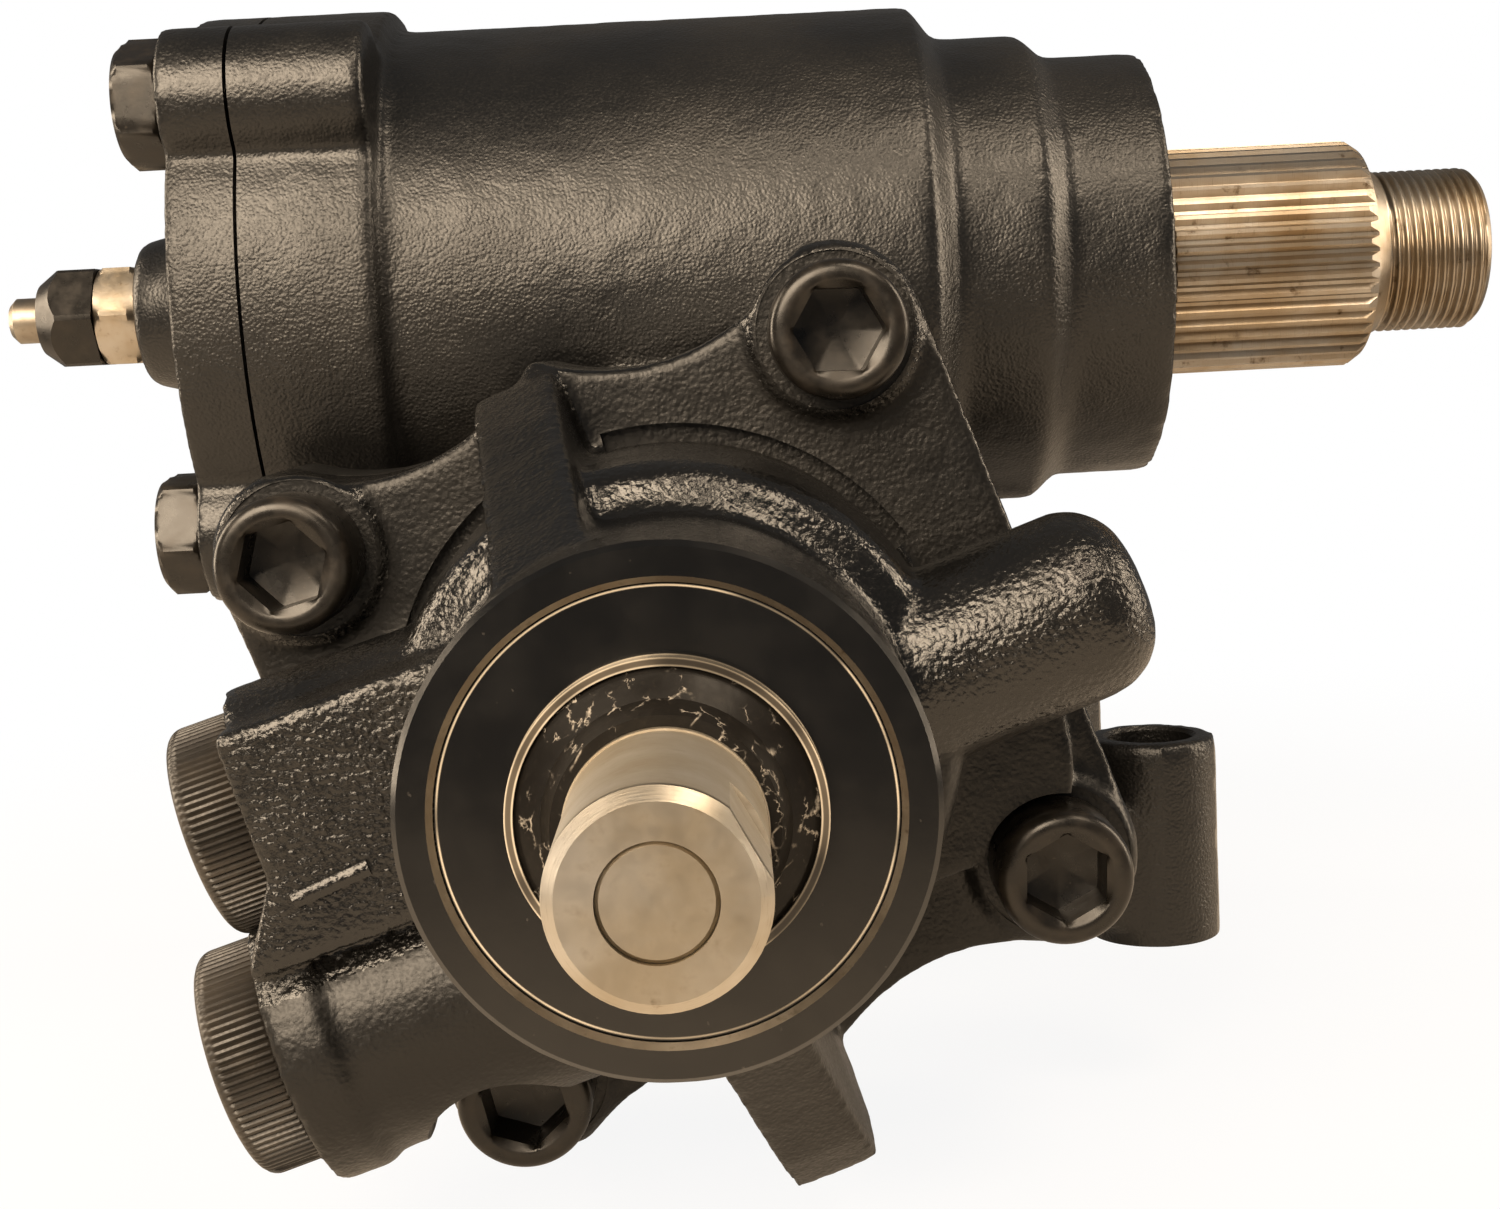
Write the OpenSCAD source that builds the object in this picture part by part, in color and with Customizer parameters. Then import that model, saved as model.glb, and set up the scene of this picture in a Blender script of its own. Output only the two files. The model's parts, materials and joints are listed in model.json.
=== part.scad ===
// Power steering gearbox, recirculating-ball type, in millimetres.
// X runs along the sector shaft towards its spline, Y along the worm away from the input shaft, Z up.
// The origin is the centre of the four chassis bolts, on the mounting face under the ears.

/* [Chassis mounting] */
// Distance between the chassis bolts across the gearbox
chassis_bolt_x = 130; // [126:0.5:140]
// Distance between the chassis bolts along the worm
chassis_bolt_y = 104; // [100:0.5:108]
// Diameter of the chassis bolt holes
ear_hole_d = 13; // [11:0.5:14]
// Diameter of a mounting ear
ear_d = 20; // [18:0.5:24]
// Height of a mounting ear
ear_h = 31; // [26:0.5:36]
// Thickness of the web that carries an ear
ear_web_h = 18; // [12:0.5:22]
// Worm axis along X, from the middle of the chassis bolts
worm_x = -6; // [-8:0.5:-3]
// Height of the sector shaft axis above the mounting face
sector_h = 104; // [103.5:0.5:108]
// Sector shaft axis along Y, from the middle of the chassis bolts
sector_y = -10; // [-12:0.5:-8]

/* [Gear mesh] */
// Distance from the sector shaft axis to the worm axis
centre_distance = 58.5; // [57.8:0.1:59.2]
// Module of the sector and rack teeth
gear_module = 5; // [4.8:0.05:5.1]
// Number of teeth that a full gear of this sector would have
gear_teeth = 12; // [12:1:12]
// Number of teeth on the sector
sector_teeth = 3; // [3:2:3]
// Pressure angle of the teeth
pressure_angle = 25; // [24:0.5:27]
// Play between the teeth at the pitch line
backlash = 0.3; // [0.2:0.05:0.5]
// Width of the sector teeth along the sector shaft
sector_face_w = 32; // [28:0.5:34]

/* [Sector shaft] */
// Diameter of the bearing journal in the gear housing
journal_d = 38; // [36:0.5:39]
// Diameter of the bearing journal in the side cover
cover_journal_d = 34; // [31:0.5:35]
// Outer diameter of the drop arm spline
spline_d = 37.6; // [36:0.1:37.8]
// Number of spline teeth
spline_teeth = 44; // [36:1:48]
// Depth of the spline teeth
spline_depth = 1.1; // [0.8:0.1:1.4]
// Length of the spline
spline_len = 31; // [26:0.5:34]
// Outer diameter of the drop arm nut thread
thread_d = 27; // [24:0.5:29]
// Length of the nut thread
thread_len = 17; // [14:0.5:20]
// Length of the taper between spline and thread
spline_taper = 4.5; // [3:0.5:6]

/* [Sector barrel] */
// Distance from the worm axis to the side cover joint
cover_joint = 62.5; // [61.5:0.5:65]
// Diameter of the barrel around the toothed sector
barrel_d = 88; // [86:0.5:92]
// Diameter of the middle step of the barrel
boss_mid_d = 77.2; // [75:0.2:79]
// Diameter of the end of the barrel
boss_end_d = 69.6; // [67:0.2:72]
// Distance from the worm axis to the end of the large barrel
barrel_end = 41; // [39:0.5:43]
// Distance from the worm axis to the end of the middle step
boss_mid_end = 59; // [57:0.5:61]
// Distance from the worm axis to the end of the barrel
boss_end = 79; // [78:0.5:82]
// Length of the cones between the steps
boss_step = 4; // [2:0.5:5]
// Diameter of the chamber for the toothed sector
chamber_d = 74; // [72.5:0.5:75]
// Distance from the worm axis to the chamber's closed end
chamber_end = 22; // [20:0.5:23]

/* [Side cover] */
// Diameter of the side cover and of the housing flange under it
cover_d = 95; // [94:0.5:98]
// Radius from the sector shaft axis to the side cover bolts
cover_bolt_r = 46.5; // [46:0.5:49]
// Radius of a bolt lobe
cover_lobe_r = 11; // [10:0.5:12]
// Thread diameter of the side cover bolts
cover_bolt_d = 10; // [8:1:10]
// Distance across flats of the side cover bolt heads
cover_bolt_af = 17; // [15:0.5:18]
// Height of the side cover bolt heads
cover_bolt_head = 7; // [6:0.5:8]
// Length of the side cover bolts under the head
cover_bolt_len = 28; // [24:1:30]
// Angle that the side cover bolts are turned by from the diagonals
cover_turn = 4; // [0:1:6]
// Thickness of the side cover's rim
cover_t = 11; // [9:0.5:13]
// Thickness of the housing flange under the cover
cover_flange_t = 20; // [16:0.5:21]
// Height of the side cover's dome
cover_dome = 6; // [4:0.5:8]
// Height of the adjuster boss above the dome
adjuster_boss_h = 9; // [7:0.5:11]
// Diameter of the adjuster boss
adjuster_boss_d = 24; // [22:0.5:28]

/* [Adjuster] */
// Thread diameter of the adjusting screw
adjuster_d = 10; // [8:0.5:11]
// Diameter of the adjusting screw's head inside the sector shaft
adjuster_head_d = 17; // [15:0.5:17.5]
// Thickness of the adjusting screw's head
adjuster_head_t = 4; // [3:0.5:5]
// Distance across flats of the lock nut
lock_nut_af = 16; // [15:0.5:19]
// Height of the lock nut
lock_nut_h = 7.5; // [6:0.5:9]
// Height of the cap nut
cap_nut_h = 10; // [8:0.5:12]
// Length of the adjusting screw beyond the cap nut
adjuster_tip = 5.5; // [4:0.5:7]
// Diameter of the adjusting screw's tip
adjuster_tip_d = 7.6; // [6:0.2:7.8]

/* [Piston and worm] */
// Diameter of the rack piston
piston_d = 74; // [73:0.5:75]
// Length of the rack piston ahead of the sector shaft axis
piston_front = 41; // [40:0.5:42]
// Length of the rack piston behind the sector shaft axis
piston_rear = 43; // [42:0.5:46]
// Travel of the rack piston each way
piston_travel = 20; // [18:0.5:20.5]
// Outer diameter of the worm
worm_d = 26.8; // [26:0.2:27.6]
// Lead of the worm thread
worm_lead = 11.5; // [11:0.1:12]
// Diameter of the circulating balls
ball_d = 5.8; // [5.4:0.1:6]
// Diameter of the circle of the ball centres
ball_circle_d = 29.2; // [28.8:0.1:29.6]
// Number of turns of balls in the piston
ball_turns = 2; // [1:1:2]
// Number of balls in a turn
balls_per_turn = 12; // [8:1:13]
// Diameter of the ball return tube
return_tube_d = 8; // [7.4:0.2:8.4]

/* [Piston barrel] */
// Wall around the piston bore
piston_wall = 7.5; // [6.5:0.5:8]
// Room between the piston and each end of its bore
piston_room = 2; // [1.5:0.5:3]
// Thickness of the rear plug
rear_plug_t = 8; // [7:0.5:10]
// Depth of the rear plug's seat beyond the bore radius
rear_plug_step = 1.5; // [1:0.25:2]
// Thickness of the retaining rings
retaining_ring_t = 1.6; // [1.2:0.1:2]
// Length of the housing flange at the valve joint
housing_flange_t = 17; // [15:0.5:19]

/* [Valve housing] */
// Angle that the valve housing is turned by about the worm axis
valve_turn = 20; // [16:0.5:24]
// Side of the square of flange bolts
flange_bolt_square = 77.6; // [77:0.2:80]
// Radius of a flange bolt lug
flange_lug_r = 12; // [11:0.5:13]
// Thickness of the valve housing flange
valve_flange_t = 18.5; // [16:0.5:21]
// Diameter of the raised pad under a flange bolt
flange_pad_d = 22.5; // [20:0.5:24]
// Height of the raised pads
flange_pad_h = 1.2; // [0.8:0.1:2]
// Length of the valve housing from its flange to the front face
nose_len = 67.2; // [66:0.2:70]
// Diameter of the front of the valve housing
nose_d = 58; // [57:0.2:60]
// Diameter of the valve housing body
valve_body_d = 66; // [63:0.5:68]
// Diameter of the step at the foot of the valve housing body
valve_foot_d = 76; // [74:0.5:78]
// Width of the casting's ribs
rib_w = 11.5; // [9:0.5:14]
// Distance from the worm axis to the top of the upper rib
rib_top = 48.5; // [46:0.5:52]
// Distance from the worm axis to the tip of the lower rib
rib_bottom = 61.5; // [58:0.5:66]
// Radius of the side boss
side_boss_r = 12; // [10:0.5:13]
// Distance from the worm axis to the end of the side boss
side_boss_reach = 60.5; // [58:0.5:64]

/* [Flange bolts] */
// Thread diameter of the flange bolts
flange_bolt_d = 12; // [10:1:12]
// Head diameter of the flange bolts
flange_head_d = 18; // [16:0.5:18.5]
// Head height of the flange bolts
flange_head_h = 12; // [10:0.5:13]
// Clear way for a socket in front of each valve flange bolt
flange_tool_d = 21; // [19.5:0.5:22]
// Distance across flats of the sockets
flange_socket_af = 10.5; // [8:0.5:11]
// Length of the flange bolts under the head
flange_bolt_len = 36; // [30:1:38]

/* [Ports] */
// Angle of the ports about the worm axis
port_turn = 16.5; // [14:0.5:18]
// Angle of the ports towards the input shaft
port_lead = 5; // [4:0.5:7]
// Distance from the flange to where the port axes cross the worm
port_ahead = 19; // [17:0.5:21]
// Distance from the worm axis to the upper port face
upper_port_reach = 51; // [50:0.5:52]
// Distance from the worm axis to the lower port face
lower_port_reach = 58; // [57:0.5:60]
// Height of the upper port axis
upper_port_z = 8.5; // [8.2:0.1:9]
// Height of the lower port axis
lower_port_z = -20.3; // [-20.8:0.1:-20]
// Diameter of the upper port cap
upper_cap_d = 27; // [26:0.1:27.6]
// Diameter of the lower port cap
lower_cap_d = 29.2; // [28:0.1:29.8]
// Height of a port cap
port_cap_h = 8.5; // [7:0.5:9]
// Length of a port cap's stem
port_stem = 8; // [6:0.5:10]
// Thread diameter of the ports
port_d = 16; // [14:0.5:18]
// Wall of the casting around a port cap
port_rim = 2.5; // [1.5:0.25:3]

/* [Input shaft] */
// Diameter of the input shaft's free end
input_d = 20.9; // [20:0.1:21]
// Diameter of the input shaft in its seals and bearing
input_journal_d = 21.3; // [21.2:0.1:22]
// Length of the input shaft beyond the front face
input_reach = 35.3; // [30:0.1:40]
// Chamfer at the tip of the input shaft
input_chamfer = 1.25; // [0.8:0.05:1.8]
// Depth of the flat on the input shaft
input_flat = 0.7; // [0.4:0.1:1]
// Length of the flat from the tip
input_flat_len = 13; // [8:0.5:14]
// Diameter of the torsion bar's ends
torsion_head_d = 11.2; // [10.4:0.1:11.6]
// Diameter of the torsion bar's slender part
torsion_d = 8; // [7:0.1:9]
// Diameter of the torsion bar pin
torsion_pin_d = 3; // [2.5:0.1:3.5]
// Diameter of the front bearing plug
plug_d = 49; // [48.4:0.1:50]
// Depth of the front bearing plug
plug_len = 16; // [15:0.5:18]
// Diameter of the lip around the input seal
lip_d = 34; // [33:0.2:36]
// Height of the lip around the input seal
lip_h = 2.2; // [1.5:0.1:3]

/* [Rotary valve and bearings] */
// Outer diameter of the valve sleeve
sleeve_d = 41.8; // [40:0.1:43]
// Bore of the valve sleeve
sleeve_bore = 26; // [25:0.1:27]
// Number of rings on the valve sleeve
sleeve_rings = 4; // [3:1:4]
// Outer diameter of the worm bearing
worm_bearing_d = 52; // [50:0.5:54]
// Width of the worm bearing
worm_bearing_w = 13; // [11:0.5:14]
// Ball diameter of the worm bearing
worm_bearing_ball_d = 6; // [5:0.1:6.4]
// Wall of the needle bearings
needle_wall = 4; // [3:0.25:4.5]
// Radial width of the sector seals
sector_seal_w = 6; // [5:0.25:7]
// Thickness of the round seal rings
seal_ring_d = 2; // [1.6:0.1:2.2]

/* [Fits] */
// Radial gap of a running fit
run_gap = 0.05; // [0.02:0.01:0.08]
// Radial gap around bolts, stems and seated rings
seat_gap = 0.05; // [0.02:0.01:0.1]
// Free gap between parts that pass each other
free_gap = 0.5; // [0.4:0.1:0.8]

/* [Hidden] */
$fn = 96;
// Overrun of a cut beyond the face it starts from
over = 1;

// Gear geometry
pitch_r = gear_module * gear_teeth / 2;
addendum = gear_module;
dedendum = 1.25 * gear_module;
rack_pitch = PI * gear_module;
rack_pitch_z = centre_distance - pitch_r;
sector_tip_r = pitch_r + addendum;
sector_root_r = pitch_r - dedendum;
base_r = pitch_r * cos(pressure_angle);

// Stations along Y, from the sector shaft axis
joint_y = -(piston_front + piston_travel + piston_room);
flange_y = joint_y - valve_flange_t;
nose_y = flange_y - nose_len;
tip_y = nose_y - input_reach;
plug_face_y = nose_y + over;
plug_back_y = plug_face_y + plug_len;
plug_floor = 6;
input_seal_w = 4;
dust_lip_h = 5;
dust_lip_root = 2;
seat_cone_h = 5;
seat_rim_h = 2;
neck_len = 26;
shoulder_len = 10;
foot_len = 9;
foot_slope = 6;
input_journal_y = plug_face_y - lip_h - 6;
rear_seat_y = piston_rear + piston_travel + piston_room;
rear_ring_y = rear_seat_y + rear_plug_t;
rear_y = rear_ring_y + retaining_ring_t + 2 * seat_gap + over;
bearing_back_y = joint_y - over;
bearing_front_y = bearing_back_y - worm_bearing_w;
sleeve_back_y = bearing_front_y - 6;
sleeve_front_y = plug_back_y + 2 * free_gap;
spool_back_y = sleeve_back_y - 2 * over;
valve_bore_d = sleeve_d + 2 * run_gap;
bore_d = piston_d + 2 * run_gap;
piston_barrel_d = bore_d + 2 * piston_wall;

// Worm and ball track
piston_plug_t = 5;
worm_rear_y = piston_rear - piston_plug_t - piston_travel - piston_room;
ball_zone = ball_turns * worm_lead;
ball_start_y = worm_rear_y - piston_travel - ball_zone - ball_d / 2;
worm_front_y = ball_start_y - piston_travel - ball_d;
groove_r = ball_d / 2 + free_gap;
worm_root_r = ball_circle_d / 2 - groove_r;
ball_bore_d = ball_circle_d + ball_d + 2 * seat_gap;
worm_neck_d = 2 * worm_root_r - 1;
worm_journal_d = 2 * (worm_bearing_d / 2 - 2 * worm_bearing_ball_d - over);
torsion_bore_d = torsion_head_d + 2 * run_gap;

// Stations along X, from the worm axis
cover_face = cover_joint + cover_t;
adjuster_face = cover_face + cover_dome + adjuster_boss_h;
nut_face = adjuster_face + lock_nut_h;
cap_face = nut_face + cap_nut_h;
sector_left = cover_joint - 4;
cover_wall = cover_joint - 2;
sector_side_room = 22;
cover_bearing_in = sector_face_w / 2 + sector_side_room;
cover_dome_rim = 12;
cover_spigot_h = 8;
adjuster_recess = adjuster_head_t + 2 * free_gap;
retainer_t = 4;
bearing_bore_d = journal_d + 2 * needle_wall + 2 * run_gap;
seal_bore_d = journal_d + 2 * sector_seal_w;
seal_seat = boss_mid_end + 3;
oil_seal_w = 7;
seal_ring_x = seal_seat + oil_seal_w + seat_gap;
dust_seal_x = seal_ring_x + retaining_ring_t + 2 * seat_gap;
spline_start = boss_end + 4;
spline_end = spline_start + spline_len;
thread_start = spline_end + spline_taper;
thread_end = thread_start + thread_len;
spline_core_r = spline_d / 2 - spline_depth - 0.6;

// Angle and place of a rib or boss on the valve housing
rib_offset = -3.5;
side_boss_z = -4;
side_boss_ahead = 22.5;
flange_half = flange_bolt_square / 2;
relief_r = 30;
ear_foot = 3;

iron = "#2b2724";
steel = "#b7a684";
dark_steel = "#3a3632";
rubber = "#1c1b1a";
plastic = "#26231f";
brass = "#b08d4c";

// Frames

// Origin on the sector shaft axis, above the worm
module sector_frame() translate([worm_x, sector_y, sector_h]) children();

// Origin on the worm axis, below the sector shaft
module worm_frame() translate([worm_x, sector_y, sector_h - centre_distance]) children();

// The worm frame turned as the valve housing is
module valve_frame() worm_frame() rotate([0, -valve_turn, 0]) children();

// A port's frame, with X along its axis into the valve housing
module port_frame(z)
    worm_frame()
        translate([0, flange_y - port_ahead, 0])
            rotate([0, -port_turn, 0])
                rotate([0, 0, port_lead])
                    translate([0, 0, z]) children();

// The four places of a square pattern in the XZ plane
module at_square(half) for (sx = [-1, 1], sz = [-1, 1]) translate([sx * half, 0, sz * half]) children();

// The four side cover bolts, in the sector frame
module at_cover_bolts()
    for (i = [0:3]) rotate([45 + cover_turn + 90 * i, 0, 0]) translate([0, cover_bolt_r, 0]) children();

// Basic solids along an axis

module rod_x(x0, x1, d) translate([x0, 0, 0]) rotate([0, 90, 0]) cylinder(h = x1 - x0, d = d);

module rod_y(y0, y1, d) translate([0, y0, 0]) rotate([-90, 0, 0]) cylinder(h = y1 - y0, d = d);

module tube_x(x0, x1, outer, inner) difference() {
    rod_x(x0, x1, outer);
    rod_x(x0 - over, x1 + over, inner);
}

module tube_y(y0, y1, outer, inner) difference() {
    rod_y(y0, y1, outer);
    rod_y(y0 - over, y1 + over, inner);
}

// A turned solid along X from points of radius and x
module turned_x(profile) rotate([0, 90, 0]) rotate_extrude() polygon(profile);

// A turned solid along Y from points of radius and y
module turned_y(profile) rotate([-90, 0, 0]) rotate_extrude() polygon(profile);

// A plate across Y from a shape in X and Z
module plate_y(y0, y1) translate([0, y1, 0]) rotate([90, 0, 0]) linear_extrude(y1 - y0) children();

// A plate across X from a shape in Y and Z
module plate_x(x0, x1) translate([x0, 0, 0]) rotate([90, 0, 90]) linear_extrude(x1 - x0) children();

// A hexagon by its distance across flats
module hexagon(af) circle(d = af / cos(30), $fn = 6);

// A round seal ring about Y
module seal_ring_y(y, radius) translate([0, y, 0]) rotate([-90, 0, 0]) round_ring(radius);

// A round seal ring about X
module seal_ring_x(x, radius) translate([x, 0, 0]) rotate([0, 90, 0]) round_ring(radius);

module round_ring(radius)
    rotate_extrude() translate([radius, 0]) circle(d = seal_ring_d - 2 * seat_gap, $fn = 32);

// Castings

// Outline of the side cover and its housing flange, in Y and Z
module cover_outline() {
    circle(d = cover_d);
    for (i = [0:3]) rotate(45 + cover_turn + 90 * i) {
        translate([cover_bolt_r, 0]) circle(r = cover_lobe_r);
        translate([0, -cover_lobe_r]) square([cover_bolt_r, 2 * cover_lobe_r]);
    }
}

// Outline of the valve flange, in X and Z: a square with round lugs and hollowed edges
module flange_outline() difference() {
    union() {
        square(2 * [flange_half, flange_half + flange_lug_r], center = true);
        square(2 * [flange_half + flange_lug_r, flange_half], center = true);
        for (sx = [-1, 1], sz = [-1, 1]) translate(flange_half * [sx, sz]) circle(r = flange_lug_r);
    }
    for (sx = [-1, 1]) {
        edge_hollow(sx, 1, 7);
        edge_hollow(sx, -1, 4.5);
    }
}

module edge_hollow(sx, sz, depth)
    translate([sx * flange_half / 2, sz * (flange_half + flange_lug_r - depth + relief_r)])
        circle(r = relief_r);

// One chassis ear with the web that carries it
module chassis_ear(sx, sy) {
    x = sx * chassis_bolt_x / 2;
    y = sy * chassis_bolt_y / 2;
    root_x = worm_x + sx * 0.6 * piston_barrel_d / 2;
    translate([x, y, 0]) cylinder(h = ear_h, d = ear_d);
    translate([0, 0, ear_foot]) linear_extrude(ear_web_h)
        polygon([
            [root_x, y - 0.7 * ear_d], [x, y - 0.42 * ear_d], [x, y + 0.42 * ear_d], [root_x, y + 0.7 * ear_d]
        ]);
}

module housing_body() {
    sector_frame() {
        turned_x([
            [0, -cover_joint], [barrel_d / 2, -cover_joint], [barrel_d / 2, barrel_end],
            [boss_mid_d / 2, barrel_end + boss_step], [boss_mid_d / 2, boss_mid_end],
            [boss_end_d / 2, boss_mid_end + boss_step], [boss_end_d / 2, boss_end - over],
            [boss_end_d / 2 - over, boss_end], [0, boss_end]
        ]);
        plate_x(-cover_joint, -cover_joint + cover_flange_t) cover_outline();
    }
    worm_frame() turned_y([
        [0, joint_y], [piston_barrel_d / 2, joint_y], [piston_barrel_d / 2, rear_y - 2 * over],
        [piston_barrel_d / 2 - 2 * over, rear_y], [0, rear_y]
    ]);
    valve_frame() plate_y(joint_y, joint_y + housing_flange_t) flange_outline();
    for (sx = [-1, 1], sy = [-1, 1]) chassis_ear(sx, sy);
}

module gear_housing() color(iron) difference() {
    housing_body();
    sector_frame() {
        rod_x(-cover_joint - over, chamber_end, chamber_d);
        rod_x(chamber_end - over, seal_seat, bearing_bore_d);
        rod_x(seal_seat, boss_end + over, seal_bore_d + 2 * seat_gap);
        rod_x(seal_ring_x, seal_ring_x + retaining_ring_t + 2 * seat_gap, seal_bore_d + 3);
        at_cover_bolts() rod_x(-cover_joint - over, cover_bolt_len - cover_face + free_gap,
            cover_bolt_d + 2 * seat_gap);
    }
    worm_frame() {
        rod_y(joint_y - over, rear_seat_y + over, bore_d);
        rod_y(rear_seat_y, rear_y + over, bore_d + 2 * rear_plug_step);
        rod_y(rear_ring_y, rear_ring_y + retaining_ring_t + 2 * seat_gap, bore_d + 2 * rear_plug_step + 4);
    }
    valve_frame() at_square(flange_half)
        rod_y(joint_y - over, flange_y + flange_bolt_len + 2 * over, flange_bolt_d + 2 * seat_gap);
    for (sx = [-1, 1], sy = [-1, 1])
        translate([sx * chassis_bolt_x / 2, sy * chassis_bolt_y / 2, -over])
            cylinder(h = ear_h + 2 * over, d = ear_hole_d);
}

// Gusset ribs of the valve housing, above and below the neck
module valve_ribs() {
    plate_x(rib_offset - rib_w / 2, rib_offset + rib_w / 2) polygon([
        [flange_y + over, 0], [flange_y + over, rib_top], [flange_y - 3, rib_top],
        [nose_y + 12, nose_d / 2 - 0.5], [nose_y + 12, 0]
    ]);
    plate_x(rib_offset - rib_w / 2, rib_offset + rib_w / 2) polygon([
        [flange_y + over, 0], [flange_y + over, 6 - rib_bottom], [flange_y - 6, -rib_bottom],
        [flange_y - 19, -rib_bottom], [flange_y - 26, 6 - rib_bottom],
        [nose_y + 18, 2 - nose_d / 2], [nose_y + 18, 0]
    ]);
}

// Round boss on the side of the valve housing, with a domed end
module side_boss() {
    dome = side_boss_r - 4;
    translate([0, flange_y - side_boss_ahead, side_boss_z]) rotate([0, 90, 0]) rotate_extrude() {
        square([side_boss_r, side_boss_reach - dome]);
        square([side_boss_r - dome, side_boss_reach]);
        intersection() {
            translate([side_boss_r - dome, side_boss_reach - dome]) circle(r = dome);
            square([side_boss_r, side_boss_reach]);
        }
    }
}

// Bosses that carry the two hydraulic ports, and the block between them
module port_bosses() {
    ring = upper_cap_d / 2 + port_rim;
    block_front = -(ring + 3);
    block_back = flange_y + over - (flange_y - port_ahead);
    flare = over - lower_port_reach;
    port_frame(upper_port_z) {
        rod_x(-upper_port_reach, 0, 2 * ring);
        plate_y(block_front, block_back) polygon([
            [0, -ring], [0, 0.8 * ring], [-upper_port_reach, 0.8 * ring], [-upper_port_reach, -ring / 3],
            [flare, over - ring], [flare, -ring]
        ]);
    }
    port_frame(lower_port_z) rod_x(-lower_port_reach, 0, lower_cap_d + 2 * port_rim);
}

module valve_body() {
    valve_frame() {
        plate_y(flange_y, joint_y) flange_outline();
        at_square(flange_half) rod_y(flange_y - flange_pad_h, flange_y + over, flange_pad_d);
        valve_ribs();
        side_boss();
    }
    worm_frame() turned_y([
        [0, nose_y], [nose_d / 2 - 0.8, nose_y], [nose_d / 2, nose_y + 0.8],
        [nose_d / 2, nose_y + neck_len], [valve_body_d / 2, nose_y + neck_len + shoulder_len],
        [valve_body_d / 2, flange_y - foot_len - foot_slope], [valve_foot_d / 2, flange_y - foot_len],
        [valve_foot_d / 2, flange_y + over], [0, flange_y + over]
    ]);
    intersection() {
        port_bosses();
        worm_frame() rod_y(nose_y + 10, joint_y, 4 * nose_d);
    }
}

module valve_housing() color(iron) difference() {
    valve_body();
    worm_frame() {
        rod_y(bearing_front_y - seat_gap, joint_y + over, worm_bearing_d + 2 * seat_gap);
        rod_y(plug_back_y - over, bearing_front_y, valve_bore_d);
        rod_y(nose_y - over, plug_back_y, plug_d + 2 * seat_gap);
        tube_y(flange_y - over, flange_y + 3, valve_foot_d + 7, valve_foot_d);
        tube_y(joint_y - seal_ring_d, joint_y + over,
            bore_d + 4 * seal_ring_d + over, bore_d + 2 * seal_ring_d + over);
    }
    valve_frame() at_square(flange_half) {
        rod_y(flange_y - 2 * over, joint_y + over, flange_bolt_d + 2 * seat_gap);
        rod_y(nose_y, flange_y - flange_pad_h, flange_tool_d);
    }
    port_frame(upper_port_z) {
        port_bore(upper_port_reach);
        rod_x(-upper_port_reach - 2 * port_cap_h, -upper_port_reach, upper_cap_d + 2 * free_gap);
    }
    port_frame(lower_port_z) port_bore(lower_port_reach);
}

// A threaded port with the narrow way behind its seat
module port_bore(reach) {
    rod_x(-reach - over, -reach + 2 * port_stem, port_d);
    rod_x(-reach, -sleeve_d / 4, port_d / 2);
}

module side_cover() color(iron) sector_frame() difference() {
    union() {
        plate_x(-cover_face, -cover_joint) cover_outline();
        turned_x([
            [0, -adjuster_face], [adjuster_boss_d / 2 - over, -adjuster_face],
            [adjuster_boss_d / 2, over - adjuster_face], [adjuster_boss_d / 2 + 2, -cover_face - cover_dome],
            [cover_d / 2 - cover_dome_rim, -cover_face], [cover_d / 2 - cover_dome_rim, -cover_joint],
            [chamber_d / 2 - 2 * run_gap, -cover_joint],
            [chamber_d / 2 - 2 * run_gap, cover_spigot_h - cover_joint],
            [cover_journal_d / 2 + 2 * needle_wall, cover_spigot_h - cover_joint],
            [cover_journal_d / 2 + 2 * needle_wall, -cover_bearing_in], [0, -cover_bearing_in]
        ]);
    }
    rod_x(-adjuster_face - over, 0, adjuster_d + 2 * seat_gap);
    rod_x(-cover_wall, 0, cover_journal_d + 2 * needle_wall + 2 * run_gap);
    tube_x(3 - cover_joint, 3 + seal_ring_d - cover_joint, chamber_d + over, chamber_d - 2 * seal_ring_d);
    at_cover_bolts() rod_x(-cover_face - over, -cover_joint + over, cover_bolt_d + 2 * seat_gap);
}

// Fasteners

module side_cover_bolts() color(dark_steel) sector_frame() at_cover_bolts() {
    plate_x(-cover_face - cover_bolt_head, -cover_face) hexagon(cover_bolt_af);
    rod_x(-cover_face - over, cover_bolt_len - cover_face, cover_bolt_d);
}

module flange_bolts() color(dark_steel) valve_frame() at_square(flange_half) {
    seat_y = flange_y - flange_pad_h;
    difference() {
        union() {
            turned_y([
                [0, seat_y - flange_head_h], [flange_head_d / 2 - 1.2, seat_y - flange_head_h],
                [flange_head_d / 2, seat_y - flange_head_h + 1.2], [flange_head_d / 2, seat_y], [0, seat_y]
            ]);
            rod_y(seat_y - over, seat_y + flange_bolt_len, flange_bolt_d);
        }
        plate_y(seat_y - flange_head_h - over, seat_y - flange_head_h / 3) hexagon(flange_socket_af);
    }
}

module adjusting_screw() color(steel) sector_frame() {
    head_x = sector_left - retainer_t - free_gap;
    turned_x([
        [0, -cap_face - adjuster_tip], [adjuster_tip_d / 2 - over, -cap_face - adjuster_tip],
        [adjuster_tip_d / 2, over - cap_face - adjuster_tip], [adjuster_tip_d / 2, -cap_face],
        [adjuster_d / 2, over - cap_face], [adjuster_d / 2, -head_x], [adjuster_head_d / 2, -head_x],
        [adjuster_head_d / 2, adjuster_head_t - head_x], [0, adjuster_head_t - head_x]
    ]);
}

module adjuster_lock_nut() color(steel) sector_frame() difference() {
    plate_x(-nut_face, -adjuster_face) hexagon(lock_nut_af);
    rod_x(-nut_face - over, over - adjuster_face, adjuster_d + 2 * seat_gap);
}

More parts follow.
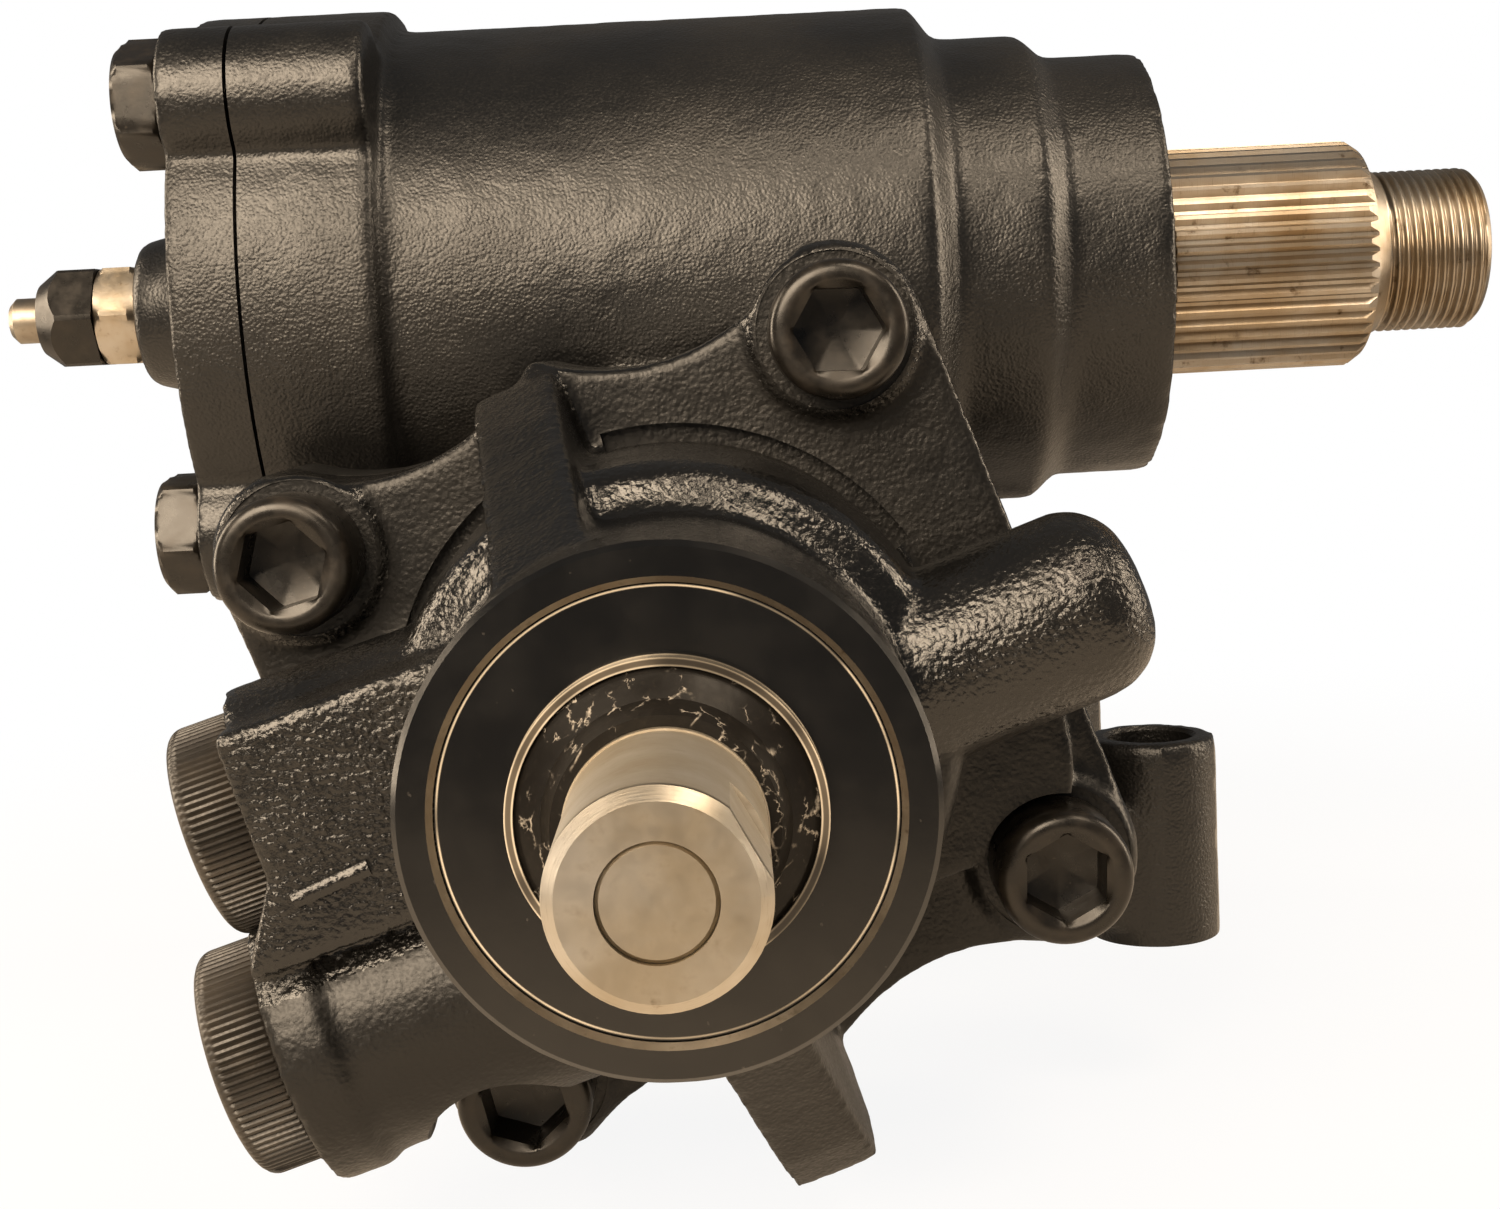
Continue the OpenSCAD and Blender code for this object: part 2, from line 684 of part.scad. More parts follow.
module adjuster_cap_nut() color(dark_steel) sector_frame() difference() {
    intersection() {
        plate_x(-cap_face, -nut_face) hexagon(lock_nut_af);
        turned_x([
            [0, -cap_face], [adjuster_d / 2 + over, -cap_face],
            [lock_nut_af / 2 + over, 0.4 * cap_nut_h - cap_face],
            [lock_nut_af / 2 + over, -nut_face], [0, -nut_face]
        ]);
    }
    rod_x(-cap_face - over, over - nut_face, adjuster_d + 2 * seat_gap);
}

// Seals, plugs and bearings carried by the castings

module side_cover_seal() color(rubber) sector_frame()
    seal_ring_x(3 + seal_ring_d / 2 - cover_joint, chamber_d / 2 - seal_ring_d / 2);

module flange_seal() color(rubber) worm_frame()
    seal_ring_y(joint_y - seal_ring_d / 2, bore_d / 2 + 3 * seal_ring_d / 2 + over / 2);

module front_bearing_plug() color(iron) worm_frame() difference() {
    union() {
        rod_y(plug_face_y, plug_back_y, plug_d);
        rod_y(plug_face_y - lip_h, plug_face_y + over, lip_d);
    }
    rod_y(plug_face_y - lip_h - over, plug_back_y + over, input_journal_d + 2 * free_gap);
    rod_y(plug_face_y + plug_floor, plug_back_y + over, input_bearing_d() + 2 * seat_gap);
    rod_y(plug_face_y - lip_h - over, plug_face_y + input_seal_w, input_seal_d() + 2 * seat_gap);
}

function input_bearing_d() = input_journal_d + 2 * needle_wall;
function input_seal_d() = lip_d - 2;

module input_bearing() color(steel) worm_frame()
    tube_y(plug_face_y + plug_floor, plug_back_y - seat_gap, input_bearing_d(), input_journal_d + 2 * run_gap);

module input_oil_seal() color(rubber) worm_frame()
    tube_y(plug_face_y, plug_face_y + input_seal_w, input_seal_d(), input_journal_d + 2 * run_gap);

module input_dust_seal() color(rubber) worm_frame() difference() {
    turned_y([
        [0, plug_face_y - lip_h - dust_lip_h], [input_journal_d / 2 + 1.2, plug_face_y - lip_h - dust_lip_h],
        [input_journal_d / 2 + 2.4, plug_face_y - lip_h - dust_lip_root],
        [input_seal_d() / 2 - 0.6, plug_face_y - lip_h],
        [input_seal_d() / 2, plug_face_y - lip_h + 0.6], [input_seal_d() / 2, plug_face_y], [0, plug_face_y]
    ]);
    rod_y(plug_face_y - lip_h - dust_lip_h - over, plug_face_y + over, input_journal_d + 2 * run_gap);
}

module worm_bearing_outer() color(steel) worm_frame() difference() {
    rod_y(bearing_front_y, bearing_back_y, worm_bearing_d);
    rod_y(bearing_front_y - over, bearing_back_y + over, worm_bearing_d - 1.2 * worm_bearing_ball_d);
    bearing_track();
}

module worm_bearing_inner() color(steel) worm_frame() difference() {
    rod_y(bearing_front_y, bearing_back_y, worm_journal_d + 1.2 * worm_bearing_ball_d);
    rod_y(bearing_front_y - over, bearing_back_y + over, worm_journal_d + 2 * seat_gap);
    bearing_track();
}

worm_bearing_pitch_r = (worm_bearing_d + worm_journal_d) / 4;

// Round track that both bearing rings share
module bearing_track()
    translate([0, (bearing_front_y + bearing_back_y) / 2, 0]) rotate([-90, 0, 0]) rotate_extrude()
        translate([worm_bearing_pitch_r, 0]) circle(d = worm_bearing_ball_d + 2 * seat_gap, $fn = 32);

module worm_bearing_balls() color(steel) worm_frame() {
    count = floor(2 * PI * worm_bearing_pitch_r / (1.5 * worm_bearing_ball_d));
    for (i = [0:count - 1])
        rotate([0, 360 * i / count, 0])
            translate([worm_bearing_pitch_r, (bearing_front_y + bearing_back_y) / 2, 0])
                sphere(d = worm_bearing_ball_d, $fn = 32);
}

// A shipping cap with a stem in its port
module port_cap(z, reach, d) color(plastic) port_frame(z) {
    turned_x([
        [0, -reach - port_cap_h], [d / 2 - 2, -reach - port_cap_h], [d / 2 - 0.6, 0.6 - reach - port_cap_h],
        [d / 2, 2 - reach - port_cap_h], [d / 2, -reach], [port_d / 2 - seat_gap, -reach],
        [port_d / 2 - seat_gap, port_stem - reach], [0, port_stem - reach]
    ]);
}

module port_cap_upper() port_cap(upper_port_z, upper_port_reach, upper_cap_d);

module port_cap_lower() port_cap(lower_port_z, lower_port_reach, lower_cap_d);

// Flared pipe seats at the foot of the ports
module port_seats() color(brass) {
    port_frame(upper_port_z) port_seat(upper_port_reach);
    port_frame(lower_port_z) port_seat(lower_port_reach);
}

module port_seat(reach) difference() {
    turned_x([
        [0, 2 * port_stem - reach - seat_cone_h], [port_d / 6, 2 * port_stem - reach - seat_cone_h],
        [port_d / 2 - seat_gap, 2 * port_stem - reach - seat_rim_h],
        [port_d / 2 - seat_gap, 2 * port_stem - reach], [0, 2 * port_stem - reach]
    ]);
    rod_x(-reach, 2 * port_stem - reach + over, port_d / 4);
}

module sector_bearing() color(steel) sector_frame()
    tube_x(chamber_end + 2, seal_seat - 2, journal_d + 2 * needle_wall, journal_d + 2 * run_gap);

module cover_bearing() color(steel) sector_frame()
    tube_x(over - cover_wall, -cover_bearing_in - over, cover_journal_d + 2 * needle_wall,
        cover_journal_d + 2 * run_gap);

module sector_oil_seal() color(rubber) sector_frame()
    tube_x(seal_seat, seal_seat + oil_seal_w, seal_bore_d, journal_d + 2 * run_gap);

module sector_seal_ring() color(dark_steel) sector_frame()
    tube_x(seal_ring_x + seat_gap, seal_ring_x + seat_gap + retaining_ring_t, seal_bore_d + 2, seal_bore_d - 6);

module sector_dust_seal() color(rubber) sector_frame()
    tube_x(dust_seal_x, boss_end + 0.6, seal_bore_d, journal_d + 2 * run_gap);

module rear_plug() color(iron) worm_frame() difference() {
    rod_y(rear_seat_y, rear_ring_y, bore_d + 2 * rear_plug_step - 2 * seat_gap);
    tube_y(rear_seat_y + 3, rear_seat_y + 3 + seal_ring_d,
        bore_d + 20, bore_d + 2 * rear_plug_step - 2 * seal_ring_d);
    rod_y(rear_ring_y - 2, rear_ring_y + over, 0.7 * bore_d);
}

module rear_plug_seal() color(rubber) worm_frame()
    seal_ring_y(rear_seat_y + 3 + seal_ring_d / 2, bore_d / 2 + rear_plug_step - seal_ring_d / 2);

module rear_plug_ring() color(dark_steel) worm_frame()
    tube_y(rear_ring_y + seat_gap, rear_ring_y + seat_gap + retaining_ring_t, bore_d + 2 * rear_plug_step + 3,
        bore_d - 6);

// Rack piston and ball circuit

// Outline of the piston in Y and Z, with the rack teeth along its top
module piston_outline() {
    half_t = rack_pitch / 4;
    lean = tan(pressure_angle);
    rack_half = 2 * rack_pitch + half_t - dedendum * lean;
    top = piston_d;
    teeth = [for (k = [1.5, 0.5, -0.5, -1.5]) for (p = [[1, -1], [1, 1], [-1, 1], [-1, -1]])
        let (rise = p[1] > 0 ? addendum : -dedendum)
            [k * rack_pitch + p[0] * (half_t - rise * lean), rack_pitch_z + rise]];
    polygon(concat(
        [[-piston_front, -top], [piston_rear, -top], [piston_rear, top], [rack_half, top],
            [rack_half, rack_pitch_z - dedendum]],
        teeth,
        [[-rack_half, rack_pitch_z - dedendum], [-rack_half, top], [-piston_front, top]]
    ));
}

tube_flat_z = -(ball_bore_d / 2 + 4);
tube_legs = [ball_start_y, ball_start_y + ball_zone];
clamp_t = 3;

module rack_piston() color(steel) worm_frame() difference() {
    intersection() {
        plate_x(-piston_d, piston_d) piston_outline();
        rod_y(-piston_front - over, piston_rear + over, piston_d);
    }
    rod_y(-piston_front - over, piston_rear - piston_plug_t - 2 * over, worm_d + 2 * free_gap);
    rod_y(ball_start_y - ball_d, ball_start_y + ball_zone + ball_d, ball_bore_d);
    rod_y(piston_rear - piston_plug_t, piston_rear + over, worm_d + 10);
    tube_y(-piston_front + 3, -piston_front + 3 + seal_ring_d + 2 * seat_gap, piston_d + over, piston_d - 5);
    tube_pocket();
    for (y = tube_legs) translate([0, y, 0]) mirror([0, 0, 1])
        cylinder(h = piston_d / 2, d = return_tube_d + 2 * seat_gap);
    for (y = clamp_screw_y) translate([0, y, clamp_floor_z - over])
        cylinder(h = clamp_screw_depth + 1.5 * over, d = clamp_screw_d + 2 * seat_gap);
}

clamp_floor_z = tube_flat_z - return_tube_d / 2;
clamp_screw_d = 4;
clamp_screw_depth = 6;
clamp_head_d = 1.5 * clamp_screw_d;
clamp_head_h = 2;
clamp_screw_ahead = 8.6;
clamp_screw_y = [ball_start_y - clamp_screw_ahead, ball_start_y + ball_zone + clamp_screw_ahead];

// Flat pocket under the piston for the return tube and its clamp
module tube_pocket()
    translate([-return_tube_d, ball_start_y - 17, -piston_d])
        cube([2 * return_tube_d, ball_zone + 34, piston_d + tube_flat_z - return_tube_d / 2]);

// Bent tube that carries the balls back, resting in the pocket
module ball_return_tube() color(steel) worm_frame() {
    run_z = tube_flat_z - return_tube_d;
    difference() {
        union() {
            for (y = tube_legs) translate([0, y, run_z])
                cylinder(h = -run_z - ball_bore_d / 2, d = return_tube_d);
            translate([0, 0, run_z]) rod_y(tube_legs[0], tube_legs[1], return_tube_d);
            for (y = tube_legs) translate([0, y, run_z]) sphere(d = return_tube_d);
        }
        for (y = tube_legs) translate([0, y, run_z]) cylinder(h = -run_z, d = ball_d + 4 * seat_gap);
        translate([0, 0, run_z]) rod_y(tube_legs[0], tube_legs[1], ball_d + 4 * seat_gap);
    }
}

// Strap over the return tube, screwed to the pocket's floor
module return_tube_clamp() color(dark_steel) worm_frame() {
    floor_z = clamp_floor_z;
    run_z = tube_flat_z - return_tube_d;
    saddle = return_tube_d / 2 + seat_gap;
    difference() {
        translate([-return_tube_d / 2 - clamp_t + 2, clamp_screw_y[0] - 4, floor_z - clamp_t])
            cube([return_tube_d + 2 * clamp_t - 4, clamp_screw_y[1] - clamp_screw_y[0] + 8, clamp_t]);
        translate([-return_tube_d, tube_legs[0] - saddle - 1, floor_z - clamp_t - over])
            cube([2 * return_tube_d, tube_legs[1] - tube_legs[0] + 2 * saddle + 2, clamp_t / 2 + over]);
        for (y = tube_legs) translate([0, y, run_z]) cylinder(h = return_tube_d, r = saddle);
        translate([0, 0, run_z]) rod_y(tube_legs[0], tube_legs[1], 2 * saddle);
        translate([-saddle, tube_legs[0], floor_z - clamp_t])
            cube([2 * saddle, tube_legs[1] - tube_legs[0], 2 * clamp_t]);
        for (y = clamp_screw_y) translate([0, y, floor_z - clamp_t - over]) {
            cylinder(h = clamp_t + 2 * over, d = clamp_screw_d + 2 * seat_gap);
            cylinder(h = clamp_head_h + over, d = clamp_head_d + 2 * seat_gap);
        }
    }
}

module clamp_screws() color(dark_steel) worm_frame() for (y = clamp_screw_y) {
    translate([0, y, clamp_floor_z - clamp_t]) {
        cylinder(h = clamp_head_h, d = clamp_head_d);
        cylinder(h = clamp_t + clamp_screw_depth, d = clamp_screw_d);
    }
}

module piston_seal() color(rubber) worm_frame()
    tube_y(seat_gap - piston_front + 3, seat_gap - piston_front + 3 + seal_ring_d,
        piston_d, piston_d - 5 + 2 * seat_gap);

module piston_end_plug() color(dark_steel) worm_frame() difference() {
    rod_y(piston_rear - piston_plug_t, piston_rear, worm_d + 10 - 2 * seat_gap);
    plate_y(piston_rear - piston_plug_t / 2, piston_rear + over) hexagon(10);
}

// Places the balls along the worm thread at rest
module circulating_balls() color(steel) worm_frame() rotate([-90, 0, 0])
    for (i = [0:ball_turns * balls_per_turn - 1]) {
        turn = (i + 0.5) / balls_per_turn;
        rotate(track_angle(ball_start_y) + 360 * turn)
            translate([ball_circle_d / 2, 0, ball_start_y + worm_lead * turn]) sphere(d = ball_d, $fn = 32);
    }

// Angle of the worm groove at a station along Y
function track_angle(y) = 360 * (y - worm_front_y) / worm_lead;

// Radius of the worm at an angle from its groove, across the axis
function worm_radius(a) =
    let (dz = worm_lead * abs(a) / 360)
        dz < groove_r ? min(worm_d / 2, ball_circle_d / 2 - sqrt(groove_r * groove_r - dz * dz)) : worm_d / 2;

module worm_shaft() color(steel) worm_frame() difference() {
    union() {
        step = 15;
        slices_per_turn = 15;
        length = worm_rear_y - worm_front_y;
        translate([0, worm_front_y, 0]) rotate([-90, 0, 0])
            linear_extrude(length, twist = -360 * length / worm_lead,
                slices = round(slices_per_turn * length / worm_lead), $fn = 360 / step)
                    polygon([for (a = [-180:step:180 - step]) worm_radius(a) * [cos(a), sin(a)]]);
        rod_y(bearing_back_y, worm_front_y + over, worm_neck_d);
        rod_y(bearing_front_y, bearing_back_y + over, worm_journal_d);
        rod_y(sleeve_back_y, bearing_front_y, worm_journal_d + worm_bearing_ball_d);
    }
    rod_y(sleeve_back_y - over, bearing_back_y, torsion_bore_d);
}

// Rotary valve and input

module valve_sleeve() color(steel) worm_frame() difference() {
    rod_y(sleeve_front_y, sleeve_back_y, sleeve_d);
    rod_y(sleeve_front_y - over, sleeve_back_y + over, sleeve_bore);
    for (y = sleeve_ring_y)
        tube_y(y - seat_gap, y + seal_ring_d + seat_gap, sleeve_d + over, sleeve_d - 2 * seal_ring_d);
}

sleeve_ring_y = [for (i = [1:sleeve_rings])
    sleeve_front_y + (sleeve_back_y - sleeve_front_y) * i / (sleeve_rings + 1)];

module sleeve_seal_rings() color(rubber) worm_frame()
    for (y = sleeve_ring_y) tube_y(y, y + seal_ring_d, sleeve_d, sleeve_d - 2 * seal_ring_d + 2 * seat_gap);

torsion_pin_y = tip_y + 10;

module input_shaft() color(steel) worm_frame() difference() {
    union() {
        turned_y([
            [0, tip_y], [input_d / 2 - input_chamfer, tip_y], [input_d / 2, tip_y + input_chamfer],
            [input_d / 2, input_journal_y], [input_journal_d / 2, input_journal_y],
            [input_journal_d / 2, sleeve_front_y],
            [sleeve_bore / 2 - run_gap, sleeve_front_y],
            [sleeve_bore / 2 - run_gap, spool_back_y], [0, spool_back_y]
        ]);
    }
    rod_y(tip_y - over, spool_back_y + over, torsion_bore_d);
    rotate([0, -28, 0]) translate([input_d / 2 - input_flat, tip_y - over, -input_d / 2])
        cube([input_d, input_flat_len + over, input_d]);
    translate([0, torsion_pin_y, 0]) rod_x(-input_d, input_d, torsion_pin_d + 2 * seat_gap);
    for (i = [0:5]) rotate([0, 60 * i, 0]) translate([sleeve_bore / 2, 0, 0])
        translate([-1, sleeve_front_y + 8, -1.5]) cube([2, sleeve_back_y - sleeve_front_y - 18, 3]);
}

module torsion_bar() color(steel) worm_frame() difference() {
    turned_y([
        [0, tip_y + 0.3], [torsion_head_d / 2 - 0.4, tip_y + 0.3], [torsion_head_d / 2, tip_y + 0.7],
        [torsion_head_d / 2, tip_y + 16], [torsion_d / 2, tip_y + 20], [torsion_d / 2, spool_back_y - 6],
        [torsion_head_d / 2, spool_back_y - 3], [torsion_head_d / 2, bearing_back_y - over],
        [0, bearing_back_y - over]
    ]);
    translate([0, torsion_pin_y, 0]) rod_x(-input_d, input_d, torsion_pin_d + 2 * seat_gap);
}

module torsion_bar_pin() color(dark_steel) worm_frame() translate([0, torsion_pin_y, 0])
    rod_x(0.6 - input_d / 2, input_d / 2 - 1.6, torsion_pin_d);

// Sector shaft

// Involute of the base circle, as an angle in degrees
function involute(a) = tan(a) * 180 / PI - a;

// Half angle of a sector tooth at a radius
function tooth_half(r) =
    (rack_pitch / 2 - backlash) / 2 / pitch_r * 180 / PI
        + involute(pressure_angle) - (r > base_r ? involute(acos(base_r / r)) : 0);

module sector_tooth() {
    steps = 6;
    radii = concat([sector_root_r - over], [for (i = [0:steps]) base_r + (sector_tip_r - base_r) * i / steps]);
    polygon(concat(
        [for (r = radii) r * [cos(tooth_half(r)), sin(tooth_half(r))]],
        [for (i = [len(radii) - 1:-1:0]) let (r = radii[i]) r * [cos(tooth_half(r)), -sin(tooth_half(r))]]
    ));
}

// Toothed sector in Y and Z, its middle tooth pointing down at the rack
module sector_outline() {
    circle(r = sector_root_r);
    for (i = [0:sector_teeth - 1]) rotate(-90 + (i - (sector_teeth - 1) / 2) * 360 / gear_teeth) sector_tooth();
}

module spline_outline() {
    outer = spline_d / 2;
    inner = outer - spline_depth;
    pitch = 360 / spline_teeth;
    polygon([for (i = [0:spline_teeth - 1]) for (p = [[0.12, inner], [0.38, outer], [0.62, outer], [0.88, inner]])
        p[1] * [cos(pitch * (i + p[0])), sin(pitch * (i + p[0]))]]);
}

module sector_shaft() color(steel) sector_frame() difference() {
    union() {
        plate_x(-sector_face_w / 2, sector_face_w / 2) sector_outline();
        rod_x(-sector_left, 0, cover_journal_d);
        turned_x([
            [0, 0], [journal_d / 2, 0], [journal_d / 2, spline_start - 2], [spline_core_r, spline_start],
            [spline_core_r, spline_end], [thread_d / 2, thread_start],
            [thread_d / 2, thread_end - 1.5], [thread_d / 2 - 1.5, thread_end], [0, thread_end]
        ]);
        intersection() {
            plate_x(spline_start - 0.7, spline_end + 1.5) spline_outline();
            turned_x([
                [0, spline_start - 2], [spline_d / 2 + over, spline_start - 2],
                [spline_d / 2 + over, spline_end - 1.7],
                [spline_core_r + 0.3, spline_end + 1.8], [0, spline_end + 1.8]
            ]);
        }
    }
    rod_x(-sector_left - over, retainer_t + adjuster_recess - sector_left, adjuster_head_d + 4 * free_gap);
}

// Ring that holds the adjusting screw's head in the sector shaft
module adjuster_retainer() color(dark_steel) sector_frame()
    tube_x(-sector_left, retainer_t - sector_left, adjuster_head_d + 4 * free_gap - 2 * seat_gap,
        adjuster_d + 2 * free_gap);

gear_housing();
valve_housing();
side_cover();
side_cover_bolts();
side_cover_seal();
adjusting_screw();
adjuster_lock_nut();
adjuster_cap_nut();
flange_bolts();
flange_seal();
front_bearing_plug();
input_bearing();
input_oil_seal();
input_dust_seal();
worm_bearing_outer();
worm_bearing_balls();
port_cap_upper();
port_cap_lower();
port_seats();
sector_bearing();
cover_bearing();
sector_oil_seal();
sector_seal_ring();
sector_dust_seal();
rear_plug();
rear_plug_seal();
rear_plug_ring();
rack_piston();
piston_seal();
piston_end_plug();
circulating_balls();
ball_return_tube();
return_tube_clamp();
clamp_screws();
worm_shaft();
worm_bearing_inner();
valve_sleeve();
sleeve_seal_rings();
input_shaft();
torsion_bar();
torsion_bar_pin();
sector_shaft();
adjuster_retainer();
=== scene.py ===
"""Looks for a power steering gearbox: cast bodies in black enamel, oiled steel shafts, knurled port caps.

Lengths in the classes are millimetres, in the frame of the sector shaft or of the worm. Meshes are in metres.
"""

from __future__ import annotations

import json
import logging
import math
from dataclasses import dataclass, field
from enum import Enum
from typing import Callable, Sequence

import bmesh
import bpy
import numpy as np
from mathutils import Matrix, Vector, noise

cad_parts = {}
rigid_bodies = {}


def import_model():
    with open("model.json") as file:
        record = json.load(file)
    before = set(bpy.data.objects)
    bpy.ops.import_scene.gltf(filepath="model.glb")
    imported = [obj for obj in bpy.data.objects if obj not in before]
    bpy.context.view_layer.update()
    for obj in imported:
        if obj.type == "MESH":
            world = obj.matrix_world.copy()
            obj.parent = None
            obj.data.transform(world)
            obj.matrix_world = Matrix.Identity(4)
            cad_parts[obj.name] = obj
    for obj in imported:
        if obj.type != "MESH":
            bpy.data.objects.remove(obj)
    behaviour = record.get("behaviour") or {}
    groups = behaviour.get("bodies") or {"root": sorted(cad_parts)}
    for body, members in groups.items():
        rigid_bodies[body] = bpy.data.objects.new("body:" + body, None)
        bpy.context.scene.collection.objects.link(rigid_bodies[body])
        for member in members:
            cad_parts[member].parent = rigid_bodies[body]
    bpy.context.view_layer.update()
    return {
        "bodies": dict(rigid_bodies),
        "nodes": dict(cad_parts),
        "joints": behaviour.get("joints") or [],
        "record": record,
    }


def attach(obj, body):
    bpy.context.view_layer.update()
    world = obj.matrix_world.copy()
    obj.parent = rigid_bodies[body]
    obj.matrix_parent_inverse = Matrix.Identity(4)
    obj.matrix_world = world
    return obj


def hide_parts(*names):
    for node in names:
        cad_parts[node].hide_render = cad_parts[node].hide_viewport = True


LOG = logging.getLogger("gearbox")
MM = 0.001
TAU = 2 * math.pi
# Stock on a cast face that is machined off, in millimetres
SPARE = 2.5
# Signs of the four corners of a bolt square
CORNERS = tuple((a, b) for a in (-1, 1) for b in (-1, 1))
# Cosine over which a face counts as square to an axis
SQUARE = 0.9
Point = tuple[float, float]
Triple = tuple[float, float, float]
Colour = Triple
Number = float | int


class Axis(Enum):
    """Axis that a turned or extruded solid runs along, with its two cross directions."""

    X = (Vector((0, 1, 0)), Vector((0, 0, 1)), Vector((1, 0, 0)))
    Y = (Vector((0, 0, 1)), Vector((1, 0, 0)), Vector((0, 1, 0)))
    Z = (Vector((1, 0, 0)), Vector((0, 1, 0)), Vector((0, 0, 1)))


class Cut(Enum):
    """How a tool solid changes a blank."""

    REMOVE = "DIFFERENCE"
    JOIN = "UNION"


def shift(x: float, y: float, z: float) -> Matrix:
    """A move given in millimetres, as a matrix in metres."""
    return Matrix.Translation(Vector((x, y, z)) * MM)


@dataclass(frozen=True)
class Layout:
    """Places of the axes and faces that several pieces share, in millimetres."""

    axis_x: float = -6.0
    axis_y: float = -10.0
    sector_z: float = 104.0
    worm_z: float = 45.5
    valve_turn: float = 20.0
    port_turn: float = 16.5
    port_lead: float = 5.0
    joint_y: float = -63.0
    flange_y: float = -81.5
    nose_y: float = -148.7
    tip_y: float = -184.0
    port_y: float = -100.5
    bolt_half: float = 38.8
    bolt_hole_r: float = 6.2

    def sector(self) -> Matrix:
        """Frame on the sector shaft axis."""
        return shift(self.axis_x, self.axis_y, self.sector_z)

    def worm(self) -> Matrix:
        """Frame on the worm axis."""
        return shift(self.axis_x, self.axis_y, self.worm_z)

    def valve(self) -> Matrix:
        """Worm frame, turned as the valve housing is."""
        return self.worm() @ Matrix.Rotation(math.radians(-self.valve_turn), 4, "Y")

    def flange_bolts(self) -> list[Matrix]:
        """Frames on the axes of the four valve flange bolts."""
        return [self.valve() @ shift(a * self.bolt_half, 0, b * self.bolt_half) for a, b in CORNERS]

    def port(self, z: float) -> Matrix:
        """Frame of a port, with X along its axis into the housing.

        Args:
            z: Height of the port's axis in millimetres.

        Returns:
            The port's frame in metres.
        """
        turned = Matrix.Rotation(math.radians(-self.port_turn), 4, "Y")
        leaning = Matrix.Rotation(math.radians(self.port_lead), 4, "Z")
        return self.worm() @ shift(0, self.port_y, 0) @ turned @ leaning @ shift(0, 0, z)


@dataclass(frozen=True)
class Port:
    """One pipe port: height of its axis, reach of its face and radius of its cap, in millimetres."""

    z: float
    reach: float
    cap_r: float

    def frame(self) -> Matrix:
        """The port's frame in metres."""
        return LAYOUT.port(self.z)


LAYOUT = Layout()
UPPER_PORT = Port(8.5, 51.0, 13.5)
LOWER_PORT = Port(-20.3, 58.0, 14.6)


class Signal:
    """One output socket of a shader node, with arithmetic that adds Math nodes."""

    def __init__(self, graph: "Graph", socket: bpy.types.NodeSocket) -> None:
        """Wraps a socket.

        Args:
            graph: The node graph that the socket belongs to.
            socket: The output socket.
        """
        self.graph = graph
        self.socket = socket

    def _math(self, operation: str, first: "Signal | Number", second: "Signal | Number") -> "Signal":
        """Adds one Math node.

        Args:
            operation: The node's operation.
            first: First value.
            second: Second value.

        Returns:
            The node's output.
        """
        return self.graph.add("ShaderNodeMath", {"operation": operation}, {0: first, 1: second})

    def __add__(self, other: "Signal | Number") -> "Signal":
        """Sum."""
        return self._math("ADD", self, other)

    __radd__ = __add__

    def __mul__(self, other: "Signal | Number") -> "Signal":
        """Product."""
        return self._math("MULTIPLY", self, other)

    __rmul__ = __mul__

    def __sub__(self, other: "Signal | Number") -> "Signal":
        """Difference."""
        return self._math("SUBTRACT", self, other)

    def __rsub__(self, other: "Signal | Number") -> "Signal":
        """Difference from a number."""
        return self._math("SUBTRACT", other, self)

    def __truediv__(self, other: "Signal | Number") -> "Signal":
        """Quotient."""
        return self._math("DIVIDE", self, other)

    def __rtruediv__(self, other: "Signal | Number") -> "Signal":
        """Quotient of a number."""
        return self._math("DIVIDE", other, self)

    def high(self, other: "Signal | Number") -> "Signal":
        """The higher of two values."""
        return self._math("MAXIMUM", self, other)

    def between(self, low: float, high: float, to_low: float = 0.0, to_high: float = 1.0) -> "Signal":
        """Smooth step from one range to another.

        Args:
            low: Value that gives to_low.
            high: Value that gives to_high.
            to_low: Lower result.
            to_high: Higher result.

        Returns:
            The stepped value.
        """
        settings = {"interpolation_type": "SMOOTHSTEP"}
        return self.graph.add(
            "ShaderNodeMapRange", settings, {0: self, 1: low, 2: high, 3: to_low, 4: to_high}
        )


